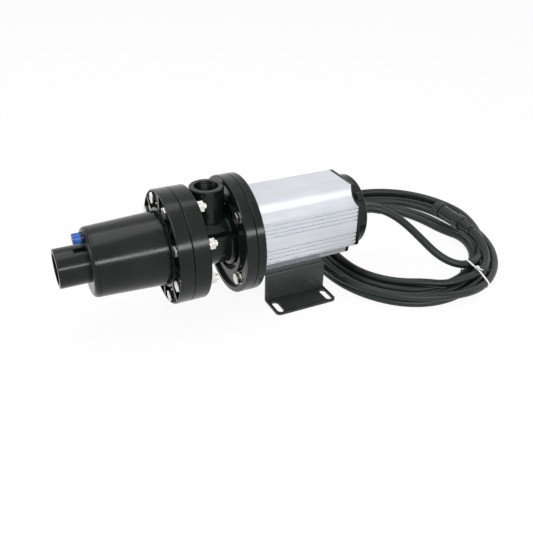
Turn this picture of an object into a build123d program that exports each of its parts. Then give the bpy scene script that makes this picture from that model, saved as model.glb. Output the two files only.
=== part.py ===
from build123d import *
import math
import os

# Solar surface pump: a helical rotor pump end in line with a square brushless motor.
# Millimetres. X runs along the shaft towards the motor, Z is up, and the origin lies on the
# floor midway between the front pair of foot slots.

# Shaft line
shaft_height = 92
port_height = 71.5

# Lengths along the shaft, from the foot towards the outlet
foot_setback = 25
motor_cover_thickness = 11
adapter_flange_thickness = 14
neck_length = 44
pump_flange_thickness = 21
chamber_flange_thickness = 18
chamber_length = 92
stub_length = 35

# Pump flanges
pump_flange_radius = 72
pump_washer_gap = 0.3
pump_bolt_count = 8
flange_rim_wall = 2.2
flange_pocket_depth = 5
flange_rib_width = 5
chamber_hub_wall = 3.5
rim_chamfer = 1

# Discharge chamber and outlet stub
chamber_front_radius = 42.5
chamber_flange_end_radius = 46.5
chamber_wall = 5.5
chamber_front_wall = 11
chamber_shoulder_radius = 6
shoulder_step_depth = 0.8
stub_radius = 23.8
stub_bore_radius = 19

# Vent plug on the chamber front
vent_rise = 35
vent_side = -2
vent_shank_radius = 4.5
vent_head_radius = 6.5
vent_head_length = 9
vent_boss_radius = 7.2
vent_boss_height = 1.5
vent_seal_thickness = 1.5
vent_slot_width = 1.6
vent_slot_depth = 2.5

# Helical pump: the rotor section is a circle that stands off the rotor's own line
rotor_section_radius = 10
eccentricity = 4
rotor_pitch = 36
rotor_running_gap = 0.3
stator_length = 84
stator_tube_radius = 29
stator_tube_wall = 2.5
stator_seat_depth = 4
rotor_front_inset = 4
rotor_rear_stand_out = 1
rotor_head_radius = 11
rotor_head_length = 14

# Joints of the connecting rod
rod_ball_radius = 6
rod_waist_radius = 4.2
rod_socket_gap = 0.3
socket_depth = 10
socket_floor_gap = 0.6

# Suction housing
neck_radius = 34
suction_bore_radius = 24
port_boss_radius = 21.5
port_thread_radius = 15.15
port_thread_length = 22
port_throat_radius = 13.5
web_thickness = 5
web_rise = 17
web_half_width = 40
neck_fillet = 4
gasket_thickness = 1.5
gasket_inner_radius = 43
gasket_outer_radius = 54

# Motor adapter flange
adapter_radius = 76
adapter_rim_width = 6.5
adapter_washer_gap = 1.5
adapter_recess_inner_radius = 51.5
adapter_recess_depth = 4
adapter_groove_inner_radius = 38.5
adapter_groove_outer_radius = 46
adapter_groove_depth = 6

# Mechanical seal
seal_seat_radius = 17
seal_seat_length = 8
seal_seat_bore = 8.5
seal_ring_radius = 13
seal_ring_length = 6
seal_face_gap = 0.05
seal_spring_length = 10
seal_spring_radius = 10.5
seal_spring_wire_radius = 0.9
seal_spring_turns = 3

# Coupling on the shaft nose
coupling_radius = 15
coupling_length = 24
coupling_grip = 11

# Motor housing
motor_width = 100
motor_length = 144
cove_radius = 22
housing_bore_radius = 43.5
groove_rises = [9.5, 15, 20.5, 26]
groove_width = 1.8
groove_depth = 1.8
cover_screw_across = 24
cover_screw_from_face = 4
cover_screw_radius = 2
cover_screw_length = 22
countersink_radius = 3.6
countersink_depth = 2
cover_spigot_length = 6
fit_gap = 0.05

# Bearings and motor shaft
shaft_nose_radius = 7
shaft_seat_radius = 7.5
shaft_body_radius = 9
bearing_outer_radius = 17.5
bearing_width = 11
bearing_boss_radius = 24
bearing_inner_ring_wall = 2.8
bearing_outer_ring_wall = 3.2
bearing_shield_thickness = 1
bearing_shield_gap = 0.5
front_bearing_setback = 4
preload_spring_thickness = 1.5
shaft_clearance = 1.5

# Motor rotor and stator
rotor_core_radius = 20.5
magnet_thickness = 3.5
magnet_count = 8
magnet_angle = 40
air_gap = 1.5
lamination_length = 60
lamination_setback = 42
tooth_count = 9
tooth_width = 8
tooth_tip_width = 14
tooth_tip_depth = 3
yoke_wall = 7.3
coil_wall = 5
coil_overhang = 8
coil_gap = 0.2

# Rear end plate and terminal cover
end_plate_thickness = 5
terminal_cover_length = 13
terminal_cover_wall = 3
terminal_cover_radius = 48.7
cover_lug_circle_radius = 45
cover_lug_radius = 7.5
cover_lug_length = 8
lug_screw_radius = 2
lug_screw_length = 11
lug_screw_head_radius = 3.6
lug_screw_head_height = 2.6
cover_edge_radius = 2.5
wire_passage_radius = 5
wire_passage_rise = 33
terminal_block_width = 30
terminal_block_height = 12
terminal_block_length = 8
terminal_block_drop = 26
terminal_count = 3

# Foot bracket
bracket_length = 88
slot_spacing_along = 72
slot_edge_width = 3
slot_width = 9
slot_length = 25
bracket_sheet = 3
bracket_leg_span = 78
foot_reach = 75
foot_corner_radius = 6
bracket_fold_radius = 3.5
bracket_screw_spacing_along = 56
bracket_screw_spacing_across = 40
bracket_screw_radius = 2.5
bracket_screw_depth = 4.5
bracket_screw_head_radius = 4.5
bracket_screw_head_height = 3

# M8 bolts, washers and nuts
bolt_radius = 4
bolt_hole_radius = 4.3
bolt_head_flats = 13
bolt_head_height = 5.3
nut_height = 6.5
washer_radius = 8
washer_thickness = 1.6
bolt_end_stand_out = 3.5
adapter_bolt_bite = 8

# Cable gland on the terminal cover
gland_side = 0
gland_rise = -4
gland_thread_radius = 10
gland_flats = 24
gland_hex_length = 7
gland_neck_radius = 9
gland_neck_length = 6
gland_nut_flats = 22
gland_nut_hex_length = 8
gland_nut_length = 17
gland_nut_tip_radius = 7.5
gland_locknut_length = 3.5
gland_seal_radius = 7.5
gland_seal_length = 8

# Cable, coil, tie and connector
cable_radius = 5.5
cable_clearance = 0.1
coil_centre_x = 245
coil_centre_y = 15
coil_long_radius = 176
coil_short_radius = 148
coil_tilt = 60
coil_inner_radius = 98
coil_inner_x = 236
coil_inner_y = -6
coil_layers = 2
coil_edge_radius = 7
tie_direction = -75
tie_width = 4.8
tie_sheet = 1.5
tie_head_length = 7
tie_head_height = 5
connector_radius = 10
connector_length = 60
connector_collar_radius = 11.5
connector_collar_length = 14
connector_tail_radius = 7
connector_tail_length = 24
connector_x = 340
connector_y = 16
connector_heading = 88

# Stations along the shaft line
housing_front_x = -foot_setback
housing_rear_x = housing_front_x + motor_length
cover_front_x = housing_front_x - motor_cover_thickness
adapter_front_x = cover_front_x - adapter_flange_thickness
neck_front_x = adapter_front_x - neck_length
joint_x = neck_front_x - pump_flange_thickness
chamber_flange_x = joint_x - chamber_flange_thickness
chamber_front_x = chamber_flange_x - chamber_length
stub_end_x = chamber_front_x - stub_length
port_x = adapter_front_x - neck_length / 2
end_plate_rear_x = housing_rear_x + end_plate_thickness
cover_end_x = end_plate_rear_x + terminal_cover_length

# Bolt circles and foot slots, set in from the rims and edges that they serve
pump_bolt_circle_radius = pump_flange_radius - flange_rim_wall - washer_radius - pump_washer_gap
adapter_bolt_circle_radius = adapter_radius - adapter_rim_width - washer_radius - adapter_washer_gap
slot_spacing_across = 2 * (foot_reach - slot_edge_width - slot_length / 2)

shaft_axis = Axis((0, 0, shaft_height), (1, 0, 0))
shaft_section = Plane(origin=(0, 0, shaft_height), x_dir=(1, 0, 0), z_dir=(0, -1, 0))


def cross_section(x, side=0, rise=0):
    """Plane across the shaft line at x, with local x along +Y and local y up."""
    return Plane(origin=(x, side, shaft_height + rise), x_dir=(0, 1, 0), z_dir=(1, 0, 0))


def turned(*points):
    """Face through the shaft line, outlined by (x, radius) points, ready to revolve."""
    with BuildSketch(shaft_section) as face:
        with BuildLine():
            Polyline(*points, close=True)
        make_face()
    return face.sketch


def add_ring(x_start, x_end, inner_radius, outer_radius, side=0, rise=0, mode=Mode.ADD):
    """Add or cut a ring between two stations of the current part."""
    with BuildSketch(cross_section(x_start, side, rise)) as face:
        Circle(outer_radius)
        if inner_radius > 0:
            Circle(inner_radius, mode=Mode.SUBTRACT)
    extrude(face.sketch, amount=x_end - x_start, mode=mode)


def add_discs(x_start, x_end, radius, places, mode=Mode.ADD):
    """Add or cut a round of the given radius at each (y, z) place across the shaft line."""
    with BuildSketch(cross_section(x_start)) as faces:
        with Locations(*places):
            Circle(radius)
    extrude(faces.sketch, amount=x_end - x_start, mode=mode)


def add_hexagons(x_start, x_end, flats, places):
    """Add a hexagon with two flats facing sideways at each (y, z) place."""
    with BuildSketch(cross_section(x_start)) as faces:
        with Locations(*places):
            RegularPolygon(flats / 2, 6, major_radius=False, rotation=30)
    extrude(faces.sketch, amount=x_end - x_start)


def add_washers(x_start, x_end, places):
    """Add a flat washer at each (y, z) place."""
    with BuildSketch(cross_section(x_start)) as faces:
        with Locations(*places):
            Circle(washer_radius)
            Circle(bolt_hole_radius, mode=Mode.SUBTRACT)
    extrude(faces.sketch, amount=x_end - x_start)


def round_places(radius, count, first_angle):
    """Places evenly spaced on a circle across the shaft line."""
    step = 2 * math.pi / count
    start = math.radians(first_angle)
    angles = [start + step * place for place in range(count)]
    return [(radius * math.cos(angle), radius * math.sin(angle)) for angle in angles]


def finish(part, name):
    """Name the finished piece and write it."""
    part.part.label = name
    export_step(part.part, f"parts/{name}.step")


os.makedirs("parts", exist_ok=True)

pump_bolt_places = round_places(pump_bolt_circle_radius, pump_bolt_count, 180 / pump_bolt_count)
adapter_bolt_places = round_places(adapter_bolt_circle_radius, 4, 45)
cover_screw_rise = motor_width / 2 - cover_screw_from_face
cover_screw_places = [(side * cover_screw_across, end * cover_screw_rise) for side in (-1, 1) for end in (-1, 1)]
lug_places = round_places(cover_lug_circle_radius, 4, 45)

# Discharge chamber
chamber_inner_front = chamber_front_radius - chamber_wall
chamber_inner_rear = chamber_flange_end_radius - chamber_wall
chamber_wall_x = chamber_front_x + chamber_front_wall
stator_seat_x = chamber_wall_x - stator_seat_depth
stator_seat_radius = stator_tube_radius + fit_gap
hub_radius = chamber_flange_end_radius + chamber_hub_wall
pocket_radius = pump_flange_radius - flange_rim_wall
pocket_floor_x = chamber_flange_x + flange_pocket_depth

with BuildPart() as discharge_chamber:
    revolve(
        turned(
            (chamber_front_x, 0),
            (chamber_front_x, chamber_front_radius),
            (chamber_flange_x, chamber_flange_end_radius),
            (chamber_flange_x, pump_flange_radius),
            (joint_x, pump_flange_radius),
            (joint_x, 0),
        ),
        axis=shaft_axis,
    )
    front_face = discharge_chamber.faces().sort_by(Axis.X)[0]
    fillet(front_face.edges(), chamber_shoulder_radius)
    rim_edges = discharge_chamber.edges().filter_by(GeomType.CIRCLE).filter_by(
        lambda edge: abs(edge.radius - pump_flange_radius) < fit_gap
    )
    chamfer(rim_edges, rim_chamfer)
    # A shallow step runs round the barrel just behind the rounded shoulder
    step_x = chamber_front_x + chamber_shoulder_radius
    add_ring(
        step_x,
        step_x + shoulder_step_depth,
        chamber_front_radius - shoulder_step_depth,
        chamber_flange_end_radius,
        mode=Mode.SUBTRACT,
    )
    add_ring(stub_end_x, chamber_front_x, 0, stub_radius)
    stub_rim = discharge_chamber.faces().sort_by(Axis.X)[0].edges()
    chamfer(stub_rim, rim_chamfer)
    add_ring(
        chamber_front_x - vent_boss_height,
        chamber_wall_x,
        0,
        vent_boss_radius,
        vent_side,
        vent_rise,
    )
    # Pockets in the flange front leave a thin rim, a hub and a rib between each pair of bolts
    add_ring(chamber_flange_x, pocket_floor_x, hub_radius, pocket_radius, mode=Mode.SUBTRACT)
    with BuildSketch(cross_section(chamber_flange_x)) as ribs:
        with PolarLocations((hub_radius + pocket_radius) / 2, pump_bolt_count):
            Rectangle(pocket_radius - hub_radius + 1, flange_rib_width)
    extrude(ribs.sketch, amount=flange_pocket_depth)
    revolve(
        turned(
            (chamber_wall_x, 0),
            (chamber_wall_x, chamber_inner_front),
            (joint_x, chamber_inner_rear),
            (joint_x, 0),
        ),
        axis=shaft_axis,
        mode=Mode.SUBTRACT,
    )
    add_ring(stator_seat_x, chamber_wall_x, 0, stator_seat_radius, mode=Mode.SUBTRACT)
    add_ring(stub_end_x, stator_seat_x, 0, stub_bore_radius, mode=Mode.SUBTRACT)
    add_discs(pocket_floor_x, joint_x, bolt_hole_radius, pump_bolt_places, Mode.SUBTRACT)
    add_ring(
        chamber_front_x - vent_boss_height,
        chamber_wall_x,
        0,
        vent_shank_radius + fit_gap,
        vent_side,
        vent_rise,
        Mode.SUBTRACT,
    )
finish(discharge_chamber, "discharge_chamber")

# Vent plug, screwed into the front of the chamber, and the seal under its head
vent_seal_x = chamber_front_x - vent_boss_height - vent_seal_thickness
vent_head_x = vent_seal_x - vent_head_length

with BuildPart() as vent_plug:
    add_ring(vent_seal_x, chamber_wall_x, 0, vent_shank_radius, vent_side, vent_rise)
    with BuildSketch(cross_section(vent_head_x, vent_side, vent_rise)) as head:
        Circle(vent_head_radius)
        with PolarLocations(vent_head_radius, 10):
            Circle(vent_head_radius / 9, mode=Mode.SUBTRACT)
    extrude(head.sketch, amount=vent_head_length)
    chamfer(vent_plug.faces().sort_by(Axis.X)[0].edges(), rim_chamfer / 2)
    with BuildSketch(cross_section(vent_head_x, vent_side, vent_rise)) as slot:
        Rectangle(3 * vent_head_radius, vent_slot_width)
    extrude(slot.sketch, amount=vent_slot_depth, mode=Mode.SUBTRACT)
finish(vent_plug, "vent_plug")

with BuildPart() as vent_seal:
    add_ring(
        vent_seal_x,
        vent_seal_x + vent_seal_thickness,
        vent_shank_radius + fit_gap,
        (vent_head_radius + vent_boss_radius) / 2,
        vent_side,
        vent_rise,
    )
finish(vent_seal, "vent_seal")

# Stator: a steel tube lined with rubber, whose cavity is a two-start helix
stator_rear_x = stator_seat_x + stator_length
tube_rear_x = joint_x + stator_seat_depth
stator_bore_radius = stator_tube_radius - stator_tube_wall

with BuildPart() as stator_tube:
    add_ring(stator_seat_x, tube_rear_x, stator_bore_radius, stator_tube_radius)
finish(stator_tube, "stator_tube")

with BuildPart() as stator_rubber:
    add_ring(stator_seat_x, stator_rear_x, 0, stator_bore_radius)
    with BuildLine() as cavity_line:
        Line((stator_seat_x, 0, shaft_height), (stator_rear_x, 0, shaft_height))
    with BuildLine() as cavity_twist:
        Helix(
            2 * rotor_pitch,
            stator_length,
            stator_bore_radius,
            center=(stator_seat_x, 0, shaft_height),
            direction=(1, 0, 0),
        )
    with BuildSketch(cross_section(stator_seat_x)) as cavity_section:
        SlotCenterToCenter(4 * eccentricity, 2 * (rotor_section_radius + rotor_running_gap), rotation=90)
    sweep(cavity_section.sketch, cavity_line.wire(), binormal=cavity_twist.wire(), mode=Mode.SUBTRACT)
finish(stator_rubber, "stator_rubber")

# Helical rotor: it turns about its own line, which stands above the shaft line at rest
rotor_front_x = stator_seat_x + rotor_front_inset
rotor_helix_end_x = stator_rear_x + rotor_rear_stand_out
rotor_helix_length = rotor_helix_end_x - rotor_front_x
rotor_head_end_x = rotor_helix_end_x + rotor_head_length
rotor_lead = 90 + 360 * rotor_front_inset / rotor_pitch

with BuildPart() as helical_rotor:
    with BuildLine() as rotor_line:
        Line(
            (rotor_front_x, 0, shaft_height + eccentricity),
            (rotor_helix_end_x, 0, shaft_height + eccentricity),
        )
    with BuildLine() as rotor_twist:
        Helix(
            rotor_pitch,
            rotor_helix_length,
            stator_bore_radius,
            center=(rotor_front_x, 0, shaft_height + eccentricity),
            direction=(1, 0, 0),
        )
    with BuildSketch(cross_section(rotor_front_x, rise=eccentricity)) as rotor_section:
        with PolarLocations(eccentricity, 1, start_angle=rotor_lead):
            Circle(rotor_section_radius)
    sweep(rotor_section.sketch, rotor_line.wire(), binormal=rotor_twist.wire())
    add_ring(rotor_helix_end_x, rotor_head_end_x, 0, rotor_head_radius, rise=eccentricity)
    chamfer(helical_rotor.faces().sort_by(Axis.X)[-1].edges(), rim_chamfer)
    add_ring(
        rotor_head_end_x - socket_depth,
        rotor_head_end_x,
        0,
        rod_ball_radius + rod_socket_gap,
        rise=eccentricity,
        mode=Mode.SUBTRACT,
    )
finish(helical_rotor, "helical_rotor")

# Mechanical seal and coupling stations, worked out from the suction housing's rear wall
seal_face_x = adapter_front_x - seal_face_gap
seal_ring_front_x = seal_face_x - seal_ring_length
coupling_rear_x = seal_ring_front_x - seal_spring_length
coupling_front_x = coupling_rear_x - coupling_length
shaft_nose_x = coupling_rear_x - coupling_grip

# Connecting rod: it carries the turning motion from the shaft to the offset rotor
rod_rear_x = coupling_front_x + socket_depth - rod_ball_radius - socket_floor_gap
rod_front_x = rotor_head_end_x - socket_depth + rod_ball_radius + socket_floor_gap
rod_start = Vector(rod_rear_x, 0, shaft_height)
rod_end = Vector(rod_front_x, 0, shaft_height + eccentricity)
rod_direction = (rod_end - rod_start).normalized()
rod_plane = Plane(origin=rod_start, z_dir=rod_direction)

with BuildPart() as connecting_rod:
    with BuildSketch(rod_plane) as rod_waist:
        Circle(rod_waist_radius)
    extrude(rod_waist.sketch, amount=(rod_end - rod_start).length)
    with Locations(rod_start, rod_end):
        Sphere(rod_ball_radius)
finish(connecting_rod, "connecting_rod")

with BuildPart() as shaft_coupling:
    add_ring(coupling_front_x, coupling_rear_x, 0, coupling_radius)
    chamfer(shaft_coupling.edges().filter_by(GeomType.CIRCLE), rim_chamfer)
    add_ring(
        coupling_front_x,
        coupling_front_x + socket_depth,
        0,
        rod_ball_radius + rod_socket_gap,
        mode=Mode.SUBTRACT,
    )
    add_ring(shaft_nose_x, coupling_rear_x, 0, shaft_nose_radius, mode=Mode.SUBTRACT)
finish(shaft_coupling, "shaft_coupling")

with BuildPart() as seal_spring:
    with BuildLine() as spring_line:
        Helix(
            (seal_spring_length - 2 * seal_spring_wire_radius) / seal_spring_turns,
            seal_spring_length - 2 * seal_spring_wire_radius,
            seal_spring_radius,
            center=(coupling_rear_x + seal_spring_wire_radius, 0, shaft_height),
            direction=(1, 0, 0),
        )
    with BuildSketch(Plane(spring_line.wire() @ 0, z_dir=spring_line.wire() % 0)) as spring_wire:
        Circle(seal_spring_wire_radius)
    sweep(spring_wire.sketch, spring_line.wire(), is_frenet=True)
finish(seal_spring, "seal_spring")

with BuildPart() as seal_ring:
    add_ring(seal_ring_front_x, seal_face_x, shaft_nose_radius, seal_ring_radius)
finish(seal_ring, "seal_ring")

with BuildPart() as seal_seat:
    add_ring(adapter_front_x, adapter_front_x + seal_seat_length, seal_seat_bore, seal_seat_radius)
finish(seal_seat, "seal_seat")

# Suction housing: two flanges joined by a neck, with the upright inlet port between them
seal_pocket_x = adapter_front_x + seal_seat_length
port_top = shaft_height + port_height

with BuildPart() as suction_housing:
    revolve(
        turned(
            (joint_x, 0),
            (joint_x, pump_flange_radius),
            (neck_front_x, pump_flange_radius),
            (neck_front_x, neck_radius),
            (adapter_front_x, neck_radius),
            (adapter_front_x, adapter_radius),
            (cover_front_x, adapter_radius),
            (cover_front_x, 0),
        ),
        axis=shaft_axis,
    )
    rim_edges = suction_housing.edges().filter_by(GeomType.CIRCLE).filter_by(
        lambda edge: edge.radius > pump_flange_radius - fit_gap
    )
    chamfer(rim_edges, rim_chamfer)
    neck_edges = suction_housing.edges().filter_by(GeomType.CIRCLE).filter_by(
        lambda edge: abs(edge.radius - neck_radius) < fit_gap
    )
    fillet(neck_edges, neck_fillet)
    # Concentric recess and groove on the front of the adapter flange
    add_ring(
        adapter_front_x,
        adapter_front_x + adapter_recess_depth,
        adapter_recess_inner_radius,
        adapter_radius - adapter_rim_width,
        mode=Mode.SUBTRACT,
    )
    add_ring(
        adapter_front_x,
        adapter_front_x + adapter_groove_depth,
        adapter_groove_inner_radius,
        adapter_groove_outer_radius,
        mode=Mode.SUBTRACT,
    )
    with BuildSketch(cross_section(neck_front_x, rise=web_rise)):
        Rectangle(2 * web_half_width, web_thickness)
    extrude(amount=neck_length)
    with BuildSketch(Plane.XY.offset(shaft_height)):
        with Locations((port_x, 0)):
            Circle(port_boss_radius)
    extrude(amount=port_height)
    chamfer(suction_housing.faces().sort_by(Axis.Z)[-1].edges(), rim_chamfer)
    add_ring(joint_x, adapter_front_x, 0, suction_bore_radius, mode=Mode.SUBTRACT)
    add_ring(joint_x, tube_rear_x, 0, stator_seat_radius, mode=Mode.SUBTRACT)
    add_ring(joint_x, joint_x + gasket_thickness, gasket_inner_radius, gasket_outer_radius, mode=Mode.SUBTRACT)
    add_ring(adapter_front_x, seal_pocket_x, 0, seal_seat_radius + fit_gap, mode=Mode.SUBTRACT)
    add_ring(seal_pocket_x, cover_front_x, 0, shaft_nose_radius + shaft_clearance, mode=Mode.SUBTRACT)
    with BuildSketch(Plane.XY.offset(port_top - port_thread_length)):
        with Locations((port_x, 0)):
            Circle(port_thread_radius)
    extrude(amount=port_thread_length, mode=Mode.SUBTRACT)
    with BuildSketch(Plane.XY.offset(shaft_height)):
        with Locations((port_x, 0)):
            Circle(port_throat_radius)
    extrude(amount=port_height, mode=Mode.SUBTRACT)
    add_discs(joint_x, neck_front_x, bolt_hole_radius, pump_bolt_places, Mode.SUBTRACT)
    add_discs(adapter_front_x, cover_front_x, bolt_hole_radius, adapter_bolt_places, Mode.SUBTRACT)
finish(suction_housing, "suction_housing")

with BuildPart() as flange_gasket:
    add_ring(joint_x, joint_x + gasket_thickness, gasket_inner_radius + fit_gap, gasket_outer_radius - fit_gap)
finish(flange_gasket, "flange_gasket")

# Flange fasteners: heads in the chamber's pockets, nuts behind the pump flange
head_seat_x = pocket_floor_x - washer_thickness
nut_seat_x = neck_front_x + washer_thickness
nut_end_x = nut_seat_x + nut_height

with BuildPart() as flange_bolts:
    add_hexagons(head_seat_x - bolt_head_height, head_seat_x, bolt_head_flats, pump_bolt_places)
    add_discs(head_seat_x, nut_end_x + bolt_end_stand_out, bolt_radius, pump_bolt_places)
finish(flange_bolts, "flange_bolts")

with BuildPart() as flange_washers:
    add_washers(head_seat_x, pocket_floor_x, pump_bolt_places)
    add_washers(neck_front_x, nut_seat_x, pump_bolt_places)
finish(flange_washers, "flange_washers")

with BuildPart() as flange_nuts:
    add_hexagons(nut_seat_x, nut_end_x, bolt_head_flats, pump_bolt_places)
    add_discs(nut_seat_x, nut_end_x, bolt_radius, pump_bolt_places, Mode.SUBTRACT)
finish(flange_nuts, "flange_nuts")

# Adapter bolts: they hold the suction housing to the motor's front cover
adapter_floor_x = adapter_front_x + adapter_recess_depth
adapter_head_x = adapter_floor_x - washer_thickness

with BuildPart() as adapter_bolts:
    add_hexagons(adapter_head_x - bolt_head_height, adapter_head_x, bolt_head_flats, adapter_bolt_places)
    add_discs(adapter_head_x, cover_front_x + adapter_bolt_bite, bolt_radius, adapter_bolt_places)
finish(adapter_bolts, "adapter_bolts")

with BuildPart() as adapter_washers:
    add_washers(adapter_head_x, adapter_floor_x, adapter_bolt_places)
finish(adapter_washers, "adapter_washers")

# Motor front cover with the front bearing's pocket
front_bearing_x = housing_front_x + front_bearing_setback
front_bearing_rear_x = front_bearing_x + bearing_width

with BuildPart() as motor_cover:
    add_ring(cover_front_x, housing_front_x, 0, adapter_radius)
    chamfer(motor_cover.edges().filter_by(GeomType.CIRCLE), rim_chamfer)
    add_ring(housing_front_x, housing_front_x + cover_spigot_length, 0, housing_bore_radius - fit_gap)
    add_ring(housing_front_x, front_bearing_rear_x, 0, bearing_boss_radius)
    add_ring(front_bearing_x, front_bearing_rear_x, 0, bearing_outer_radius + fit_gap, mode=Mode.SUBTRACT)
    add_ring(cover_front_x, front_bearing_x, 0, shaft_seat_radius + shaft_clearance, mode=Mode.SUBTRACT)
    add_discs(cover_front_x, cover_front_x + adapter_bolt_bite, bolt_radius, adapter_bolt_places, Mode.SUBTRACT)
    add_discs(cover_front_x, housing_front_x, cover_screw_radius, cover_screw_places, Mode.SUBTRACT)
    with Locations(cross_section(cover_front_x)):
        with Locations(*cover_screw_places):
            with Locations((0, 0, countersink_depth / 2)):
                Cone(countersink_radius, cover_screw_radius, countersink_depth, mode=Mode.SUBTRACT)
finish(motor_cover, "motor_cover")


def add_countersunk_screws(face_x, inward):
    """Add the four screws that hold a cover to the housing, sunk flush into the face at face_x."""
    end_x = face_x + inward * cover_screw_length
    add_discs(min(face_x, end_x), max(face_x, end_x), cover_screw_radius, cover_screw_places)
    radii = (countersink_radius, cover_screw_radius) if inward > 0 else (cover_screw_radius, countersink_radius)
    with Locations(cross_section(face_x + inward * countersink_depth / 2)):
        with Locations(*cover_screw_places):
            Cone(*radii, countersink_depth)


with BuildPart() as front_cover_screws:
    add_countersunk_screws(cover_front_x, 1)
finish(front_cover_screws, "front_cover_screws")

# Motor housing: a square aluminium extrusion with hollow corners and grooved sides
half_width = motor_width / 2


def body_outline():
    """Outline of the extrusion across the shaft: a square with a round cove at each corner."""
    with BuildSketch() as outline:
        Rectangle(motor_width, motor_width)
        with GridLocations(motor_width, motor_width, 2, 2):
            Circle(cove_radius, mode=Mode.SUBTRACT)
    return outline.sketch


with BuildPart() as motor_housing:
    with BuildSketch(cross_section(housing_front_x)):
        add(body_outline())
        Circle(housing_bore_radius, mode=Mode.SUBTRACT)
        groove_places = [
            (side * half_width, end * rise) for side in (-1, 1) for end in (-1, 1) for rise in groove_rises
        ]
        with Locations(*groove_places):
            Rectangle(2 * groove_depth, groove_width, mode=Mode.SUBTRACT)
        with Locations(*cover_screw_places):
            Circle(cover_screw_radius, mode=Mode.SUBTRACT)
    extrude(amount=motor_length)
    bracket_centre_x = slot_spacing_along / 2
    with BuildSketch(Plane.XY.offset(shaft_height - half_width)):
        with Locations((bracket_centre_x, 0)):
            with GridLocations(bracket_screw_spacing_along, bracket_screw_spacing_across, 2, 2):
                Circle(bracket_screw_radius)
    extrude(amount=bracket_screw_depth, mode=Mode.SUBTRACT)
finish(motor_housing, "motor_housing")

# Bearings
rear_bearing_x = housing_rear_x - bearing_width
bearing_inner_radius = shaft_seat_radius + bearing_inner_ring_wall
bearing_race_radius = bearing_outer_radius - bearing_outer_ring_wall
shield_radius = bearing_inner_radius + bearing_shield_gap

for place, bearing_x in (("front", front_bearing_x), ("rear", rear_bearing_x)):
    bearing_end_x = bearing_x + bearing_width
    with BuildPart() as outer_ring:
        add_ring(bearing_x, bearing_end_x, bearing_race_radius, bearing_outer_radius)
        add_ring(bearing_x, bearing_x + bearing_shield_thickness, shield_radius, bearing_race_radius)
        add_ring(bearing_end_x - bearing_shield_thickness, bearing_end_x, shield_radius, bearing_race_radius)
    finish(outer_ring, f"{place}_bearing_outer")
    with BuildPart() as inner_ring:
        add_ring(bearing_x, bearing_end_x, shaft_seat_radius, bearing_inner_radius)
    finish(inner_ring, f"{place}_bearing_inner")

# Motor shaft, turned in one piece from the pump coupling to the rear bearing
with BuildPart() as motor_shaft:
    revolve(
        turned(
            (shaft_nose_x, 0),
            (shaft_nose_x, shaft_nose_radius),
            (cover_front_x, shaft_nose_radius),
            (cover_front_x, shaft_seat_radius),
            (front_bearing_rear_x, shaft_seat_radius),
            (front_bearing_rear_x, shaft_body_radius),
            (rear_bearing_x, shaft_body_radius),
            (rear_bearing_x, shaft_seat_radius),
            (housing_rear_x, shaft_seat_radius),
            (housing_rear_x, 0),
        ),
        axis=shaft_axis,
    )
finish(motor_shaft, "motor_shaft")

# Rotor core, magnets, laminated stator and its coils
lamination_x = housing_front_x + lamination_setback
magnet_radius = rotor_core_radius + magnet_thickness
stator_inner_radius = magnet_radius + air_gap
yoke_inner_radius = housing_bore_radius - yoke_wall
tooth_top = yoke_inner_radius + 1
coil_width = tooth_width + 2 * coil_gap + 2 * coil_wall
coil_outer_radius = math.sqrt(yoke_inner_radius ** 2 - (coil_width / 2) ** 2) - coil_gap
coil_inner_radius_at_tooth = stator_inner_radius + tooth_tip_depth + coil_gap
coil_height = coil_outer_radius - coil_inner_radius_at_tooth
coil_middle_radius = (coil_outer_radius + coil_inner_radius_at_tooth) / 2

with BuildPart() as rotor_core:
    add_ring(lamination_x, lamination_x + lamination_length, shaft_body_radius, rotor_core_radius)
finish(rotor_core, "rotor_core")

with BuildPart() as rotor_magnets:
    with BuildSketch(cross_section(lamination_x)) as magnet_faces:
        Circle(magnet_radius)
        Circle(rotor_core_radius, mode=Mode.SUBTRACT)
        gap_angle = 360 / magnet_count - magnet_angle
        with PolarLocations(magnet_radius, magnet_count):
            Rectangle(
                2 * magnet_radius - 2 * rotor_core_radius + 2,
                2 * magnet_radius * math.sin(math.radians(gap_angle / 2)),
                mode=Mode.SUBTRACT,
            )
    extrude(amount=lamination_length)
finish(rotor_magnets, "rotor_magnets")

with BuildPart() as stator_core:
    with BuildSketch(cross_section(lamination_x)):
        Circle(housing_bore_radius - fit_gap)
        Circle(yoke_inner_radius, mode=Mode.SUBTRACT)
        with PolarLocations((stator_inner_radius + tooth_top) / 2, tooth_count):
            Rectangle(tooth_top - stator_inner_radius, tooth_width)
        with PolarLocations(stator_inner_radius + tooth_tip_depth / 2, tooth_count):
            Rectangle(tooth_tip_depth, tooth_tip_width)
        Circle(stator_inner_radius, mode=Mode.SUBTRACT)
    extrude(amount=lamination_length)
finish(stator_core, "stator_core")

with BuildPart() as stator_windings:
    with Locations(cross_section(lamination_x + lamination_length / 2)):
        with PolarLocations(coil_middle_radius, tooth_count):
            Box(coil_height, coil_width, lamination_length + 2 * coil_overhang)
            Box(
                2 * coil_height,
                tooth_width + 2 * coil_gap,
                lamination_length + 2 * coil_gap,
                mode=Mode.SUBTRACT,
            )
finish(stator_windings, "stator_windings")

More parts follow.
